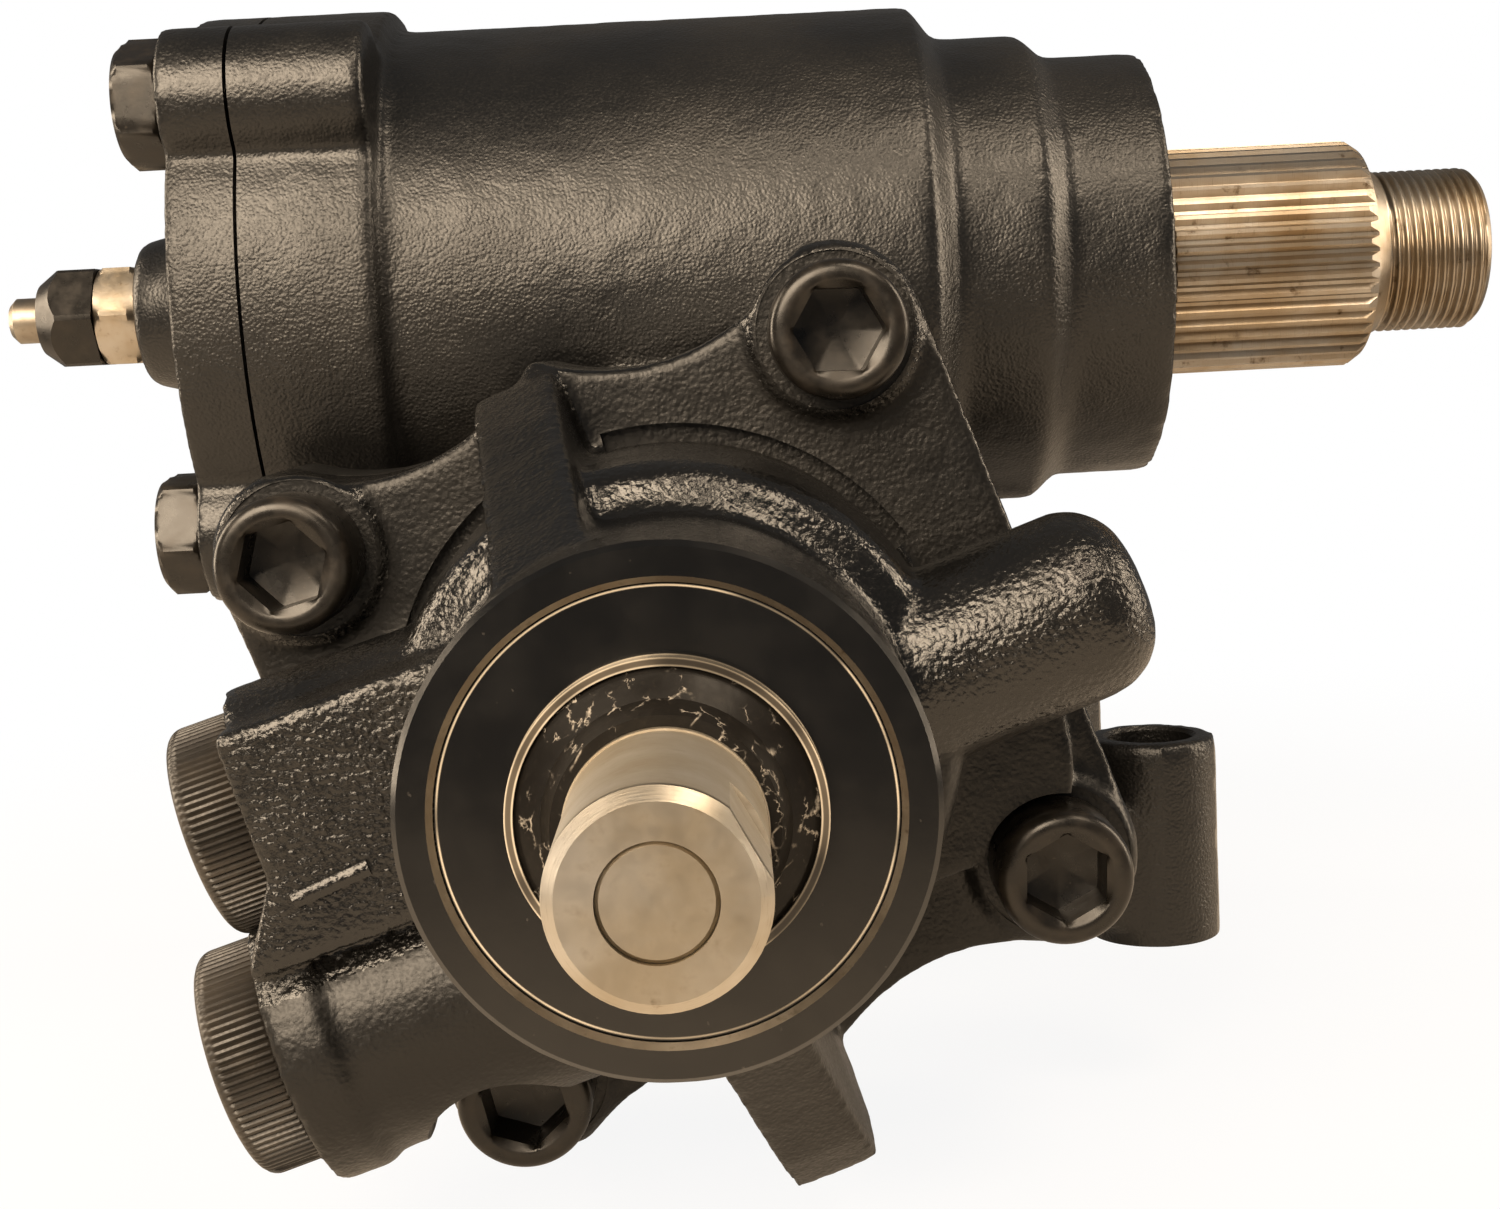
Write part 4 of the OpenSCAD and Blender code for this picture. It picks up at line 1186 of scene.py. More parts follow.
@dataclass(frozen=True)
class CoverFlange:
    """Outline that the gear housing and the side cover share at their joint: a disc with four bolt lobes."""

    rim_r: float = 47.5
    lobe_at: float = 46.5
    lobe_r: float = 11.0
    hole_r: float = 5.2
    turn: float = 49.0
    joint_x: float = -62.5

    def leans(self) -> list[Matrix]:
        """Sector frames turned so that Y points at each bolt."""
        angles = (math.radians(self.turn + 90 * i) for i in range(4))
        return [LAYOUT.sector() @ Matrix.Rotation(angle, 4, "X") for angle in angles]

    def bolts(self) -> list[Matrix]:
        """Frames on the axes of the four cover bolts."""
        return [lean @ shift(0, self.lobe_at, 0) for lean in self.leans()]

    def solids(self, blank: Blank, start: float, end: float) -> None:
        """Adds the flange to a blank.

        Args:
            blank: Blank to add to.
            start: First face along X in millimetres.
            end: Second face along X.
        """
        blank.rod(start, end, self.rim_r, Axis.X, LAYOUT.sector(), 128)
        wall = box(0, self.lobe_at, -self.lobe_r, self.lobe_r)
        for lean, bolt in zip(self.leans(), self.bolts()):
            blank.rod(start, end, self.lobe_r, Axis.X, bolt)
            blank.prism(wall, start, end, Axis.X, lean)

    def holes(self, blank: Blank, start: float, end: float) -> None:
        """Adds the bolt holes to a cutting tool.

        Args:
            blank: Tool to add to.
            start: Start along X in millimetres.
            end: End along X.
        """
        for bolt in self.bolts():
            blank.rod(start, end, self.hole_r, Axis.X, bolt, 48)


VALVE_FLANGE = ValveFlange()
COVER_FLANGE = CoverFlange()


@dataclass
class SectorBore:
    """Bore across the gear housing: sector chamber, needle bearing, oil seal, ring groove and mouth."""

    reach: Point = (-70.0, 85.0)
    chamber_r: float = 37.2
    chamber_end: float = 22.0
    bearing_r: float = 23.2
    bearing_end: float = 62.0
    seal_r: float = 25.15
    ring_r: float = 26.6
    ring: Point = (69.0, 70.9)
    mouth_r: float = 25.9
    mouth: Point = (78.4, 79.2)

    def tool(self) -> Blank:
        """Makes the solid that cuts the bore.

        Returns:
            The cutting tool.
        """
        start, end = self.reach
        inside = stepped(
            start,
            (self.chamber_r, self.chamber_end),
            (self.bearing_r, self.bearing_end),
            (self.seal_r, self.ring[0]),
            (self.ring_r, self.ring[1]),
            (self.seal_r, self.mouth[0]),
        )
        mouth = [(self.mouth_r, self.mouth[1]), (self.mouth_r, end), (0, end)]
        return Blank().lathe([*inside[:-1], *mouth], Axis.X, LAYOUT.sector(), 128)


@dataclass
class PistonBore:
    """Bore along the worm axis, with the seat and the ring groove of the rear plug."""

    reach: Point = (-70.0, 80.0)
    bore_r: float = 37.25
    bore_end: float = 65.0
    seat_r: float = 38.7
    ring_r: float = 40.7
    ring: Point = (72.9, 74.8)

    def tool(self) -> Blank:
        """Makes the solid that cuts the bore.

        Returns:
            The cutting tool.
        """
        start, end = self.reach
        steps = stepped(
            start,
            (self.bore_r, self.bore_end),
            (self.seat_r, self.ring[0]),
            (self.ring_r, self.ring[1]),
            (self.seat_r, end),
        )
        return Blank().lathe(steps, Axis.Y, LAYOUT.worm(), 128)


@dataclass
class EarHole:
    """Hole for a chassis bolt, with eased edges."""

    hole_r: float = 6.5
    foot_r: float = 6.9
    top_r: float = 7.1
    foot_h: float = 0.1
    edge: float = 0.6
    past: float = 3.0

    def profile(self, height: float) -> list[Point]:
        """Profile of the cutting tool.

        Args:
            height: Height of the ear.

        Returns:
            Radius and height of each corner.
        """
        top = height + self.past
        return [
            (0, -self.past), (self.foot_r, -self.past), (self.foot_r, self.foot_h), (self.hole_r, self.edge),
            (self.hole_r, height - self.edge), (self.top_r, height), (self.top_r, top), (0, top),
        ]


@dataclass
class GearHousing:
    """Housing with the sector barrel, the piston barrel, two flanges and four chassis ears."""

    barrel_r: float = 44.0
    barrel_end: float = 41.0
    waist_r: float = 38.6
    waist: Point = (45.0, 59.0)
    boss_r: float = 34.8
    boss: Point = (63.0, 79.0)
    boss_face: float = 78.3
    cover_flange_x: float = -42.5
    valve_flange_h: float = 17.0
    piston_r: float = 44.55
    rear_y: float = 75.7
    ear_x: float = 65.0
    ear_y: float = 52.0
    ear_r: float = 10.0
    ear_h: float = 31.0
    web_root: float = 26.7
    web_half: Point = (14.0, 8.4)
    web_z: Point = (3.0, 21.0)
    valve_hole: Point = (-66.0, -43.4)
    cover_hole: Point = (-66.0, -45.0)
    facing: float = 12.0
    cover_plane: tuple[float, float, float, float] = (-75.0, 70.0, -70.0, 70.0)
    valve_plane: float = 75.0
    plane_gap: float = 0.1
    foot_skin: float = 0.4
    voxel: float = 1.0
    rounds: int = 10
    ripple: float = 0.12

    def build(self, finishes: Finishes) -> None:
        """Casts, bores and dresses the housing.

        Args:
            finishes: Materials of the gearbox.
        """
        blank = Blank()
        start = COVER_FLANGE.joint_x - SPARE
        barrel = [
            (0, start), (self.barrel_r, start), (self.barrel_r, self.barrel_end),
            (self.waist_r, self.waist[0]), (self.waist_r, self.waist[1]),
            (self.boss_r, self.boss[0]), (self.boss_r, self.boss[1]), (0, self.boss[1]),
        ]
        blank.lathe(barrel, Axis.X, LAYOUT.sector())
        COVER_FLANGE.solids(blank, start, self.cover_flange_x)
        front = LAYOUT.joint_y - SPARE
        blank.rod(front, self.rear_y, self.piston_r, Axis.Y, LAYOUT.worm(), 128)
        VALVE_FLANGE.solids(blank, front, LAYOUT.joint_y + self.valve_flange_h)
        for sx, sy in CORNERS:
            self._ear(blank, sx, sy)
        mesh = Workshop.cast(blank, "gear_casting", self.voxel, self.rounds, self.ripple)
        tools = (self._planes(), SectorBore().tool(), PistonBore().tool(), self._holes())
        mesh = Workshop.cut(mesh, [(tool, Cut.REMOVE) for tool in tools], "gear_casting")
        Workshop.dress(mesh, [finishes.satin, finishes.turned], 40, self._machined)
        Workshop.piece("gear_casting", mesh, "housing", "black_enamel", "gear_housing")

    def _ear(self, blank: Blank, sx: int, sy: int) -> None:
        """Adds one chassis ear with its web.

        Args:
            blank: Blank to add to.
            sx: Side along X.
            sy: Side along Y.
        """
        x, y = sx * self.ear_x, sy * self.ear_y
        blank.rod(-SPARE, self.ear_h, self.ear_r, Axis.Z, shift(x, y, 0))
        root = LAYOUT.axis_x + sx * self.web_root
        wide, narrow = self.web_half
        web = [(root, y - wide), (x, y - narrow), (x, y + narrow), (root, y + wide)]
        blank.prism(web if sx > 0 else list(reversed(web)), *self.web_z, Axis.Z, Matrix.Identity(4))

    def _holes(self) -> Blank:
        """Makes the bolt holes of both flanges and of the ears.

        Returns:
            The cutting tool.
        """
        holes = Blank()
        ear_hole = EarHole().profile(self.ear_h)
        for (sx, sy), bolt in zip(CORNERS, LAYOUT.flange_bolts()):
            holes.rod(*self.valve_hole, LAYOUT.bolt_hole_r, Axis.Y, bolt, 48)
            holes.lathe(ear_hole, Axis.Z, shift(sx * self.ear_x, sy * self.ear_y, 0), 48)
        COVER_FLANGE.holes(holes, *self.cover_hole)
        return holes

    def _planes(self) -> Blank:
        """Faces the cover joint, the valve joint and the ears' feet.

        Returns:
            The cutting tool.
        """
        tool = Blank()
        cover_x, valve_y, deep = COVER_FLANGE.joint_x, LAYOUT.joint_y, self.facing
        tool.prism(box(*self.cover_plane), cover_x - deep, cover_x, Axis.X, LAYOUT.sector())
        wide = box(-self.valve_plane, self.valve_plane, cover_x + self.plane_gap, self.valve_plane)
        tool.prism(wide, valve_y - deep, valve_y, Axis.Y, LAYOUT.worm())
        for sx, sy in CORNERS:
            x, y = sx * self.ear_x, sy * self.ear_y
            tool.prism(box(x - deep, x + deep, y - deep, y + deep), -deep, 0, Axis.Z, Matrix.Identity(4))
        return tool

    def _machined(self, centres: np.ndarray, normals: np.ndarray) -> np.ndarray:
        """Marks the machined faces.

        Args:
            centres: Face centres in millimetres.
            normals: Face normals.

        Returns:
            1 for machined faces, 0 for cast ones.
        """
        boss = (centres[:, 0] > LAYOUT.axis_x + self.boss_face) & (np.abs(normals[:, 0]) > SQUARE)
        foot = (centres[:, 2] < self.foot_skin) & (normals[:, 2] < -SQUARE)
        return (boss | foot).astype(int)


@dataclass
class ValveBore:
    """Bore of the valve housing: bearing plug, valve sleeve and worm bearing, behind the machined nose."""

    ahead: float = 9.0
    edge_r: float = 25.3
    edge: float = 0.7
    plug_r: float = 24.6
    plug_len: float = 17.0
    sleeve_r: float = 21.1
    bearing_r: float = 26.15
    bearing_y: float = -77.2
    end_y: float = -55.0
    face_r: float = 28.4
    face_tool: Triple = (40.0, 6.0, 12.0)

    def face(self) -> Blank:
        """Makes the solid that faces the nose and bevels its rim.

        Returns:
            The cutting tool.
        """
        nose = LAYOUT.nose_y
        wide, ahead, behind = self.face_tool
        profile = [
            (0, nose - ahead), (wide, nose - ahead), (wide, nose + behind), (self.face_r, nose), (0, nose),
        ]
        return Blank().lathe(profile, Axis.Y, LAYOUT.worm(), 128)

    def tool(self) -> Blank:
        """Makes the solid that cuts the bore.

        Returns:
            The cutting tool.
        """
        nose = LAYOUT.nose_y
        inside = stepped(
            nose + self.edge,
            (self.plug_r, nose + self.plug_len),
            (self.sleeve_r, self.bearing_y),
            (self.bearing_r, self.end_y),
        )
        edge = [(0, nose - self.ahead), (self.edge_r, nose - self.ahead), (self.edge_r, nose)]
        return Blank().lathe([*edge, *inside[1:]], Axis.Y, LAYOUT.worm(), 128)


@dataclass
class PortBore:
    """Threaded bore of a port, with the narrow way behind its seat."""

    port_r: float = 8.1
    depth: float = 16.0
    way_r: float = 4.0
    way_end: float = -10.5

    def add(self, blank: Blank, port: Port, ahead: float, *seat: Point) -> None:
        """Adds the bore to a cutting tool.

        Args:
            blank: Tool to add to.
            port: Port that it belongs to.
            ahead: How far in front of the port's face the tool starts.
            *seat: Radius and end of a sunk cap's seat, where there is one.
        """
        inside = ((self.port_r, self.depth - port.reach), (self.way_r, self.way_end))
        blank.lathe(stepped(-port.reach - ahead, *seat, *inside), Axis.X, port.frame(), 64)


@dataclass
class ValveHousing:
    """Housing of the rotary valve: flange, neck, ribs, side boss and port bosses."""

    nose_r: float = 29.05
    nose_stock: float = 2.0
    neck_len: float = 33.0
    shoulder: tuple[Point, ...] = ((29.45, 34.5), (33.8, 36.5), (35.2, 39.0))
    waist_r: float = 36.2
    waist_len: float = 14.0
    root: float = 1.0
    rib_half: float = 5.75
    rib_at: float = -3.5
    rib_top: float = 48.5
    rib_lead: Point = (12.0, 28.6)
    rib_flat: float = 3.0
    rib_bottom: float = -61.5
    keel_lead: Point = (18.0, -27.0)
    keel_flat: Triple = (26.0, 19.0, 6.0)
    keel_ease: float = 6.0
    boss_r: float = 12.0
    boss_reach: float = 60.5
    boss_ahead: float = 22.5
    boss_z: float = -4.0
    boss_dome: float = 8.0
    boss_web: tuple[Point, ...] = ((0, 0), (-30, 0), (-30, 42), (-22, 46), (-12, 48), (0, 52))
    boss_web_t: float = 9.0
    rim: float = 2.5
    lip: float = 1.1
    lip_h: float = 7.0
    block: Point = (3.0, 20.0)
    dash_at: Point = (-44.0, -8.0)
    dash_turn: float = -4.0
    dash_half: float = 4.8
    dash: tuple[Point, ...] = ((2, -1.1), (2, 1.1), (-0.5, 0.9), (-0.8, 0.5), (-0.8, -0.5), (-0.5, -0.9))
    pad_r: float = 11.25
    pad_h: float = 1.2
    pad_stock: float = 0.6
    tool_r: float = 10.5
    hole_end: float = -60.0
    back_half: float = 90.0
    facing: float = 12.0
    cap_room: float = 0.7
    sunk_ahead: float = 14.0
    open_ahead: float = 5.0
    groove_arcs: tuple[Point, ...] = ((-50.0, -17.5), (7.0, 76.0))
    groove_r: Point = (36.1, 38.6)
    groove_y: Point = (-3.0, 2.6)
    nose_skin: float = 1.2
    nose_cos: float = 0.5
    worn_r: float = 25.35
    flange_skin: float = 1.5
    flange_cos: float = 0.8
    smooth_top: float = 9.0
    voxel: float = 0.8
    rounds: int = 10
    ripple: float = 0.12

    def build(self, finishes: Finishes) -> None:
        """Casts, bores and dresses the housing.

        Args:
            finishes: Materials of the gearbox.
        """
        blank = Blank()
        nose, face = LAYOUT.nose_y, LAYOUT.flange_y
        VALVE_FLANGE.solids(blank, face, LAYOUT.joint_y + SPARE)
        tip, root = nose - self.nose_stock, face + self.root
        neck = [
            (0, tip), (self.nose_r, tip), (self.nose_r, nose + self.neck_len),
            *((radius, nose + behind) for radius, behind in self.shoulder),
            (self.waist_r, face - self.waist_len), (self.waist_r, root), (0, root),
        ]
        blank.lathe(neck, Axis.Y, LAYOUT.worm(), 128)
        self._ribs(blank)
        self._side_boss(blank)
        self._port_bosses(blank)
        for bolt in LAYOUT.flange_bolts():
            blank.rod(face - self.pad_h - self.pad_stock, root, self.pad_r, Axis.Y, bolt)
        mesh = Workshop.cast(blank, "valve_casting", self.voxel, self.rounds, self.ripple)
        mesh = Workshop.cut(mesh, self._tools(), "valve_casting")
        skins = [finishes.cast, finishes.turned, finishes.worn, finishes.flat]
        Workshop.dress(mesh, skins, 40, self._machined)
        Workshop.piece("valve_casting", mesh, "housing", "black_enamel", "valve_housing")

    def _ribs(self, blank: Blank) -> None:
        """Adds the ribs above and below the neck.

        Args:
            blank: Blank to add to.
        """
        root, face, nose = LAYOUT.flange_y + self.root, LAYOUT.flange_y, LAYOUT.nose_y
        top, bottom, ease = self.rib_top, self.rib_bottom, self.keel_ease
        start, height = self.rib_lead
        upper = [
            (root, 0), (root, top), (face - self.rib_flat, top), (nose + start, height), (nose + start, 0),
        ]
        keel, depth = self.keel_lead
        rise, first, last = self.keel_flat
        lower = [
            (root, 0), (nose + keel, 0), (nose + keel, depth), (face - rise, bottom + ease),
            (face - first, bottom), (face - last, bottom), (root, bottom + ease),
        ]
        left, right = self.rib_at - self.rib_half, self.rib_at + self.rib_half
        for outline in (upper, lower):
            blank.prism(list(reversed(outline)), left, right, Axis.X, LAYOUT.valve())

    def _side_boss(self, blank: Blank) -> None:
        """Adds the domed boss on the right.

        Args:
            blank: Blank to add to.
        """
        spot = LAYOUT.valve() @ shift(0, LAYOUT.flange_y - self.boss_ahead, self.boss_z)
        centre = (self.boss_r - self.boss_dome, self.boss_reach - self.boss_dome)
        dome = arc(centre, self.boss_dome, 0, 90, 8)
        blank.lathe([(0, 0), (self.boss_r, 0), *dome, (0, self.boss_reach)], Axis.X, spot)
        root = LAYOUT.valve() @ shift(0, LAYOUT.flange_y + self.root, self.boss_z)
        blank.prism(self.boss_web, -self.boss_web_t, 0, Axis.Y, root)

    def _port_bosses(self, blank: Blank) -> None:
        """Adds the port bosses and the block between them, which flares out to the lower one's face.

        Args:
            blank: Blank to add to.
        """
        upper, lower = UPPER_PORT.frame(), LOWER_PORT.frame()
        ring, low_ring = UPPER_PORT.cap_r + self.rim, LOWER_PORT.cap_r + self.rim
        top, low = -UPPER_PORT.reach, -LOWER_PORT.reach
        blank.rod(top, 0, ring, Axis.X, upper)
        block = [
            (-ring, 0), (0.8 * ring, 0), (0.8 * ring, top), (-ring / 3, top),
            (self.root - ring, self.root + low), (-ring, self.root + low),
        ]
        ahead, behind = self.block
        blank.prism(block, -ring - ahead, behind, Axis.Y, upper)
        blank.rod(low, 0, low_ring, Axis.X, lower)
        blank.rod(low, self.lip_h + low, low_ring + self.lip, Axis.X, lower)

    def _dash(self) -> Blank:
        """Makes the raised dash on the front of the port block.

        Returns:
            The solid to join on.
        """
        x, z = self.dash_at
        front = -UPPER_PORT.cap_r - self.rim - self.block[0]
        lean = Matrix.Rotation(math.radians(self.dash_turn), 4, "Y")
        spot = UPPER_PORT.frame() @ shift(x, front, z) @ lean
        return Blank().prism(self.dash, -self.dash_half, self.dash_half, Axis.X, spot)

    def _tools(self) -> list[tuple[Blank, Cut]]:
        """Bores, holes and machined faces of the housing.

        Returns:
            The tools in order of use.
        """
        joint = LAYOUT.joint_y
        back = Blank().prism(square(self.back_half), joint, joint + self.facing, Axis.Y, LAYOUT.worm())
        holes = Blank()
        seat = LAYOUT.flange_y - self.pad_h
        for bolt in LAYOUT.flange_bolts():
            steps = stepped(LAYOUT.nose_y, (self.tool_r, seat), (LAYOUT.bolt_hole_r, self.hole_end))
            holes.lathe(steps, Axis.Y, bolt, 64)
        sunk = (UPPER_PORT.cap_r + self.cap_room, -UPPER_PORT.reach)
        PortBore().add(holes, UPPER_PORT, self.sunk_ahead, sunk)
        lower_bore = Blank()
        PortBore().add(lower_bore, LOWER_PORT, self.open_ahead)
        bore = ValveBore()
        tools = (bore.face(), back, bore.tool(), holes, lower_bore, self._groove())
        return [(self._dash(), Cut.JOIN), *((tool, Cut.REMOVE) for tool in tools)]

    def _groove(self) -> Blank:
        """Makes the groove round the neck's foot.

        Returns:
            The cutting tool.
        """
        groove = Blank()
        inner, outer = self.groove_r
        start, end = (LAYOUT.flange_y + y for y in self.groove_y)
        for first, last in self.groove_arcs:
            outline = [*arc((0, 0), outer, first, last, 40), *arc((0, 0), inner, last, first, 40)]
            groove.prism(outline, start, end, Axis.Y, LAYOUT.valve())
        return groove

    def _machined(self, centres: np.ndarray, normals: np.ndarray) -> np.ndarray:
        """Marks the machined faces.

        Args:
            centres: Face centres in millimetres.
            normals: Face normals.

        Returns:
            1 for machined faces, 2 for the worn edge of the plug's bore, 3 for smooth cast faces, else 0.
        """
        spots = centres - np.array((LAYOUT.axis_x, LAYOUT.axis_y, LAYOUT.worm_z))
        along, facing = spots[:, 1], -normals[:, 1]
        front = (along < LAYOUT.nose_y + self.nose_skin) & (facing > self.nose_cos)
        reach = np.hypot(spots[:, 0], spots[:, 2])
        edge = front & (reach < self.worn_r) & (facing < SQUARE)
        flange = (along > LAYOUT.flange_y - self.flange_skin) & (facing > self.flange_cos)
        low = spots @ np.array(LOWER_PORT.frame().to_3x3().col[2]) < LOWER_PORT.z + self.smooth_top
        return np.where(front, front.astype(int) + edge, 3 * (flange | low))


@dataclass
class SideCover:
    """Cover over the end of the sector shaft, with a shallow dome and the adjuster's boss."""

    face_x: float = -73.5
    boss_x: float = -88.5
    boss_r: float = 12.0
    boss_edge: float = 1.0
    root: Point = (14.0, -79.5)
    dome_r: float = 35.5
    spigot_r: float = 36.6
    spigot_x: float = -54.5
    sleeve_r: float = 25.0
    sleeve_x: float = -38.0
    bore: Point = (-95.0, -30.0)
    hole: Point = (-90.0, -58.0)
    screw_r: float = 5.2
    bearing_r: float = 21.2
    bearing_x: float = -60.5
    seal_r: float = 34.8
    seal_out_r: float = 40.0
    seal: Point = (-59.6, -57.4)
    seam_r: float = 44.0
    seam: float = 0.55
    seam_out: Point = (80.0, 8.0)
    voxel: float = 0.8
    rounds: int = 8
    ripple: float = 0.12

    def build(self, finishes: Finishes) -> None:
        """Casts, bores and dresses the cover.

        Args:
            finishes: Materials of the gearbox.
        """
        sector, joint = LAYOUT.sector(), COVER_FLANGE.joint_x
        blank = Blank()
        COVER_FLANGE.solids(blank, self.face_x, joint + SPARE)
        edge_r, edge_x = self.boss_r - self.boss_edge, self.boss_x + self.boss_edge
        dome = [
            (0, self.boss_x), (edge_r, self.boss_x), (self.boss_r, edge_x), self.root,
            (self.dome_r, self.face_x), (self.dome_r, joint),
        ]
        spigot = stepped(joint, (self.spigot_r, self.spigot_x), (self.sleeve_r, self.sleeve_x))
        blank.lathe([*dome, *spigot[1:]], Axis.X, sector, 128)
        mesh = Workshop.cast(blank, "cover_casting", self.voxel, self.rounds, self.ripple)
        mesh = Workshop.cut(mesh, self._tools(sector), "cover_casting")
        Workshop.dress(mesh, [finishes.satin], 40)
        Workshop.piece("cover_casting", mesh, "housing", "black_enamel", "side_cover")

    def _tools(self, sector: Matrix) -> list[tuple[Blank, Cut]]:
        """Bores and holes of the cover.

        Args:
            sector: Frame of the sector shaft.

        Returns:
            The cutting tools.
        """
        start, end = self.bore
        steps = stepped(start, (self.screw_r, self.bearing_x), (self.bearing_r, end))
        bore = Blank().lathe(steps, Axis.X, sector, 96)
        (first, last), wide = self.seal, self.seal_out_r
        ring = [(self.seal_r, first), (wide, first), (wide, last), (self.seal_r, last), (self.seal_r, first)]
        groove = Blank().lathe(ring, Axis.X, sector, 128)
        holes = Blank()
        COVER_FLANGE.holes(holes, *self.hole)
        back = COVER_FLANGE.joint_x
        rim, (out, behind) = back - self.seam, self.seam_out
        seam = [
            (self.spigot_r, back), (self.seam_r, back), (self.seam_r, rim), (out, rim), (out, back + behind),
            (self.spigot_r, back + behind), (self.spigot_r, back),
        ]
        joint = Blank().lathe(seam, Axis.X, sector, 128)
        return [(tool, Cut.REMOVE) for tool in (joint, bore, groove, holes)]


def hexagonal(across: float, turn: float = 0.0) -> Callable[[float, float], float]:
    """Radius limit of a hexagon.

    Args:
        across: Distance across its flats.
        turn: Angle of a corner in degrees.

    Returns:
        Function from radius and angle to the radius inside the hexagon.
    """
    def limit(radius: float, angle: float) -> float:
        """The lower of the radius and the hexagon's edge."""
        side = (math.degrees(angle) - turn) % 60 - 30
        return min(radius, across / 2 / math.cos(math.radians(side)))

    return limit


@dataclass
class SocketBolts:
    """Four socket-head bolts that hold the valve housing."""

    seat_y: float = -82.7
    head_r: float = 9.0
    head_h: float = 12.0
    shank_r: float = 6.0
    length: float = 36.0
    across: float = 10.5
    round_r: float = 1.7
    depth: float = 8.0
    turns: tuple[float, ...] = (8.0, 35.0, 22.0, 51.0)

    def build(self, finishes: Finishes) -> None:
        """Makes the bolts as one piece.

        Args:
            finishes: Materials of the gearbox.
        """
        face, end = self.seat_y - self.head_h, self.seat_y + self.length
        edge = arc((self.head_r - self.round_r, face + self.round_r), self.round_r, 0, -90, 6)
        mouth = self.across / 2 / math.cos(math.radians(30))
        profile = [
            (0, end), (self.shank_r - 1, end), (self.shank_r, end - 1), (self.shank_r, self.seat_y),
            (self.head_r - 0.3, self.seat_y), (self.head_r, self.seat_y - 0.3), *edge,
            (mouth + 0.55, face), (mouth + 0.2, face + 0.12), (mouth + 0.01, face + 0.6),
            (mouth, face + 0.62), (mouth, face + self.depth), (0, face + self.depth + 1.2),
        ]
        blank = Blank()
        for turn, bolt in zip(self.turns, LAYOUT.flange_bolts()):
            limit = hexagonal(self.across, turn)

            def socket(radius: float, height: float, angle: float) -> float:
                """Keeps the socket's wall on the hexagon."""
                inside = face + 0.3 < height < face + self.depth + 1 and radius <= mouth + 0.05
                return limit(radius, angle) if inside else radius

            blank.lathe(profile, Axis.Y, bolt, 96, socket)
        mesh = blank.mesh("socket_bolts")
        Workshop.dress(mesh, [finishes.oxide], 32)
        Workshop.piece("socket_bolts", mesh, "housing", "black_oxide", "flange_bolts")


@dataclass
class CoverBolts:
    """Four hexagon bolts of the side cover, with chamfered heads."""

    face_x: float = -73.5
    head_h: float = 7.0
    across: float = 17.0
    shank_r: float = 5.0
    length: float = 28.0
    turn: float = 11.0

    def build(self, finishes: Finishes) -> None:
        """Makes the bolts as one piece.

        Args:
            finishes: Materials of the gearbox.
        """
        face = self.face_x
        top, end = face - self.head_h, face + self.length
        flat = self.across / 2
        profile = [
            (0, top), (0.9 * flat, top), (0.97 * flat, top + 0.12), (1.06 * flat, top + 0.75),
            (1.16 * flat, top + 1.5), (1.16 * flat, face - 0.9), (1.08 * flat, face - 0.4),
            (1.02 * flat, face), (self.shank_r, face), (self.shank_r, end - 1),
            (self.shank_r - 1, end), (0, end),
        ]
        blank = Blank()
        for i, bolt in enumerate(COVER_FLANGE.bolts()):
            limit = hexagonal(self.across, self.turn * i)
            blank.lathe(profile, Axis.X, bolt, 96, lambda r, h, a, keep=limit: keep(r, a))
        mesh = blank.mesh("cover_bolts")
        Workshop.dress(mesh, [finishes.oxide], 28)
        Workshop.piece("cover_bolts", mesh, "housing", "black_oxide", "side_cover_bolts")


@dataclass
class LockNut:
    """Bright hexagon nut that locks the adjusting screw."""

    start: float = -96.0
    end: float = -88.5
    across: float = 16.0
    bore_r: float = 5.05

    def build(self, finishes: Finishes) -> None:
        """Makes the nut.

        Args:
            finishes: Materials of the gearbox.
        """
        flat = self.across / 2
        limit = hexagonal(self.across)
        profile = [
            (self.bore_r, self.start), (0.93 * flat, self.start), (1.0 * flat, self.start + 0.2),
            (1.16 * flat, self.start + 1.5), (1.16 * flat, self.end - 1.5), (1.0 * flat, self.end - 0.2),
            (0.93 * flat, self.end), (self.bore_r, self.end), (self.bore_r, self.start),
        ]
        blank = Blank().lathe(profile, Axis.X, LAYOUT.sector(), 96, lambda r, h, a: limit(r, a))
        mesh = blank.mesh("lock_nut")
        Workshop.dress(mesh, [finishes.steel], 28)
        Workshop.piece("lock_nut", mesh, "housing", "bare_steel", "adjuster_lock_nut")


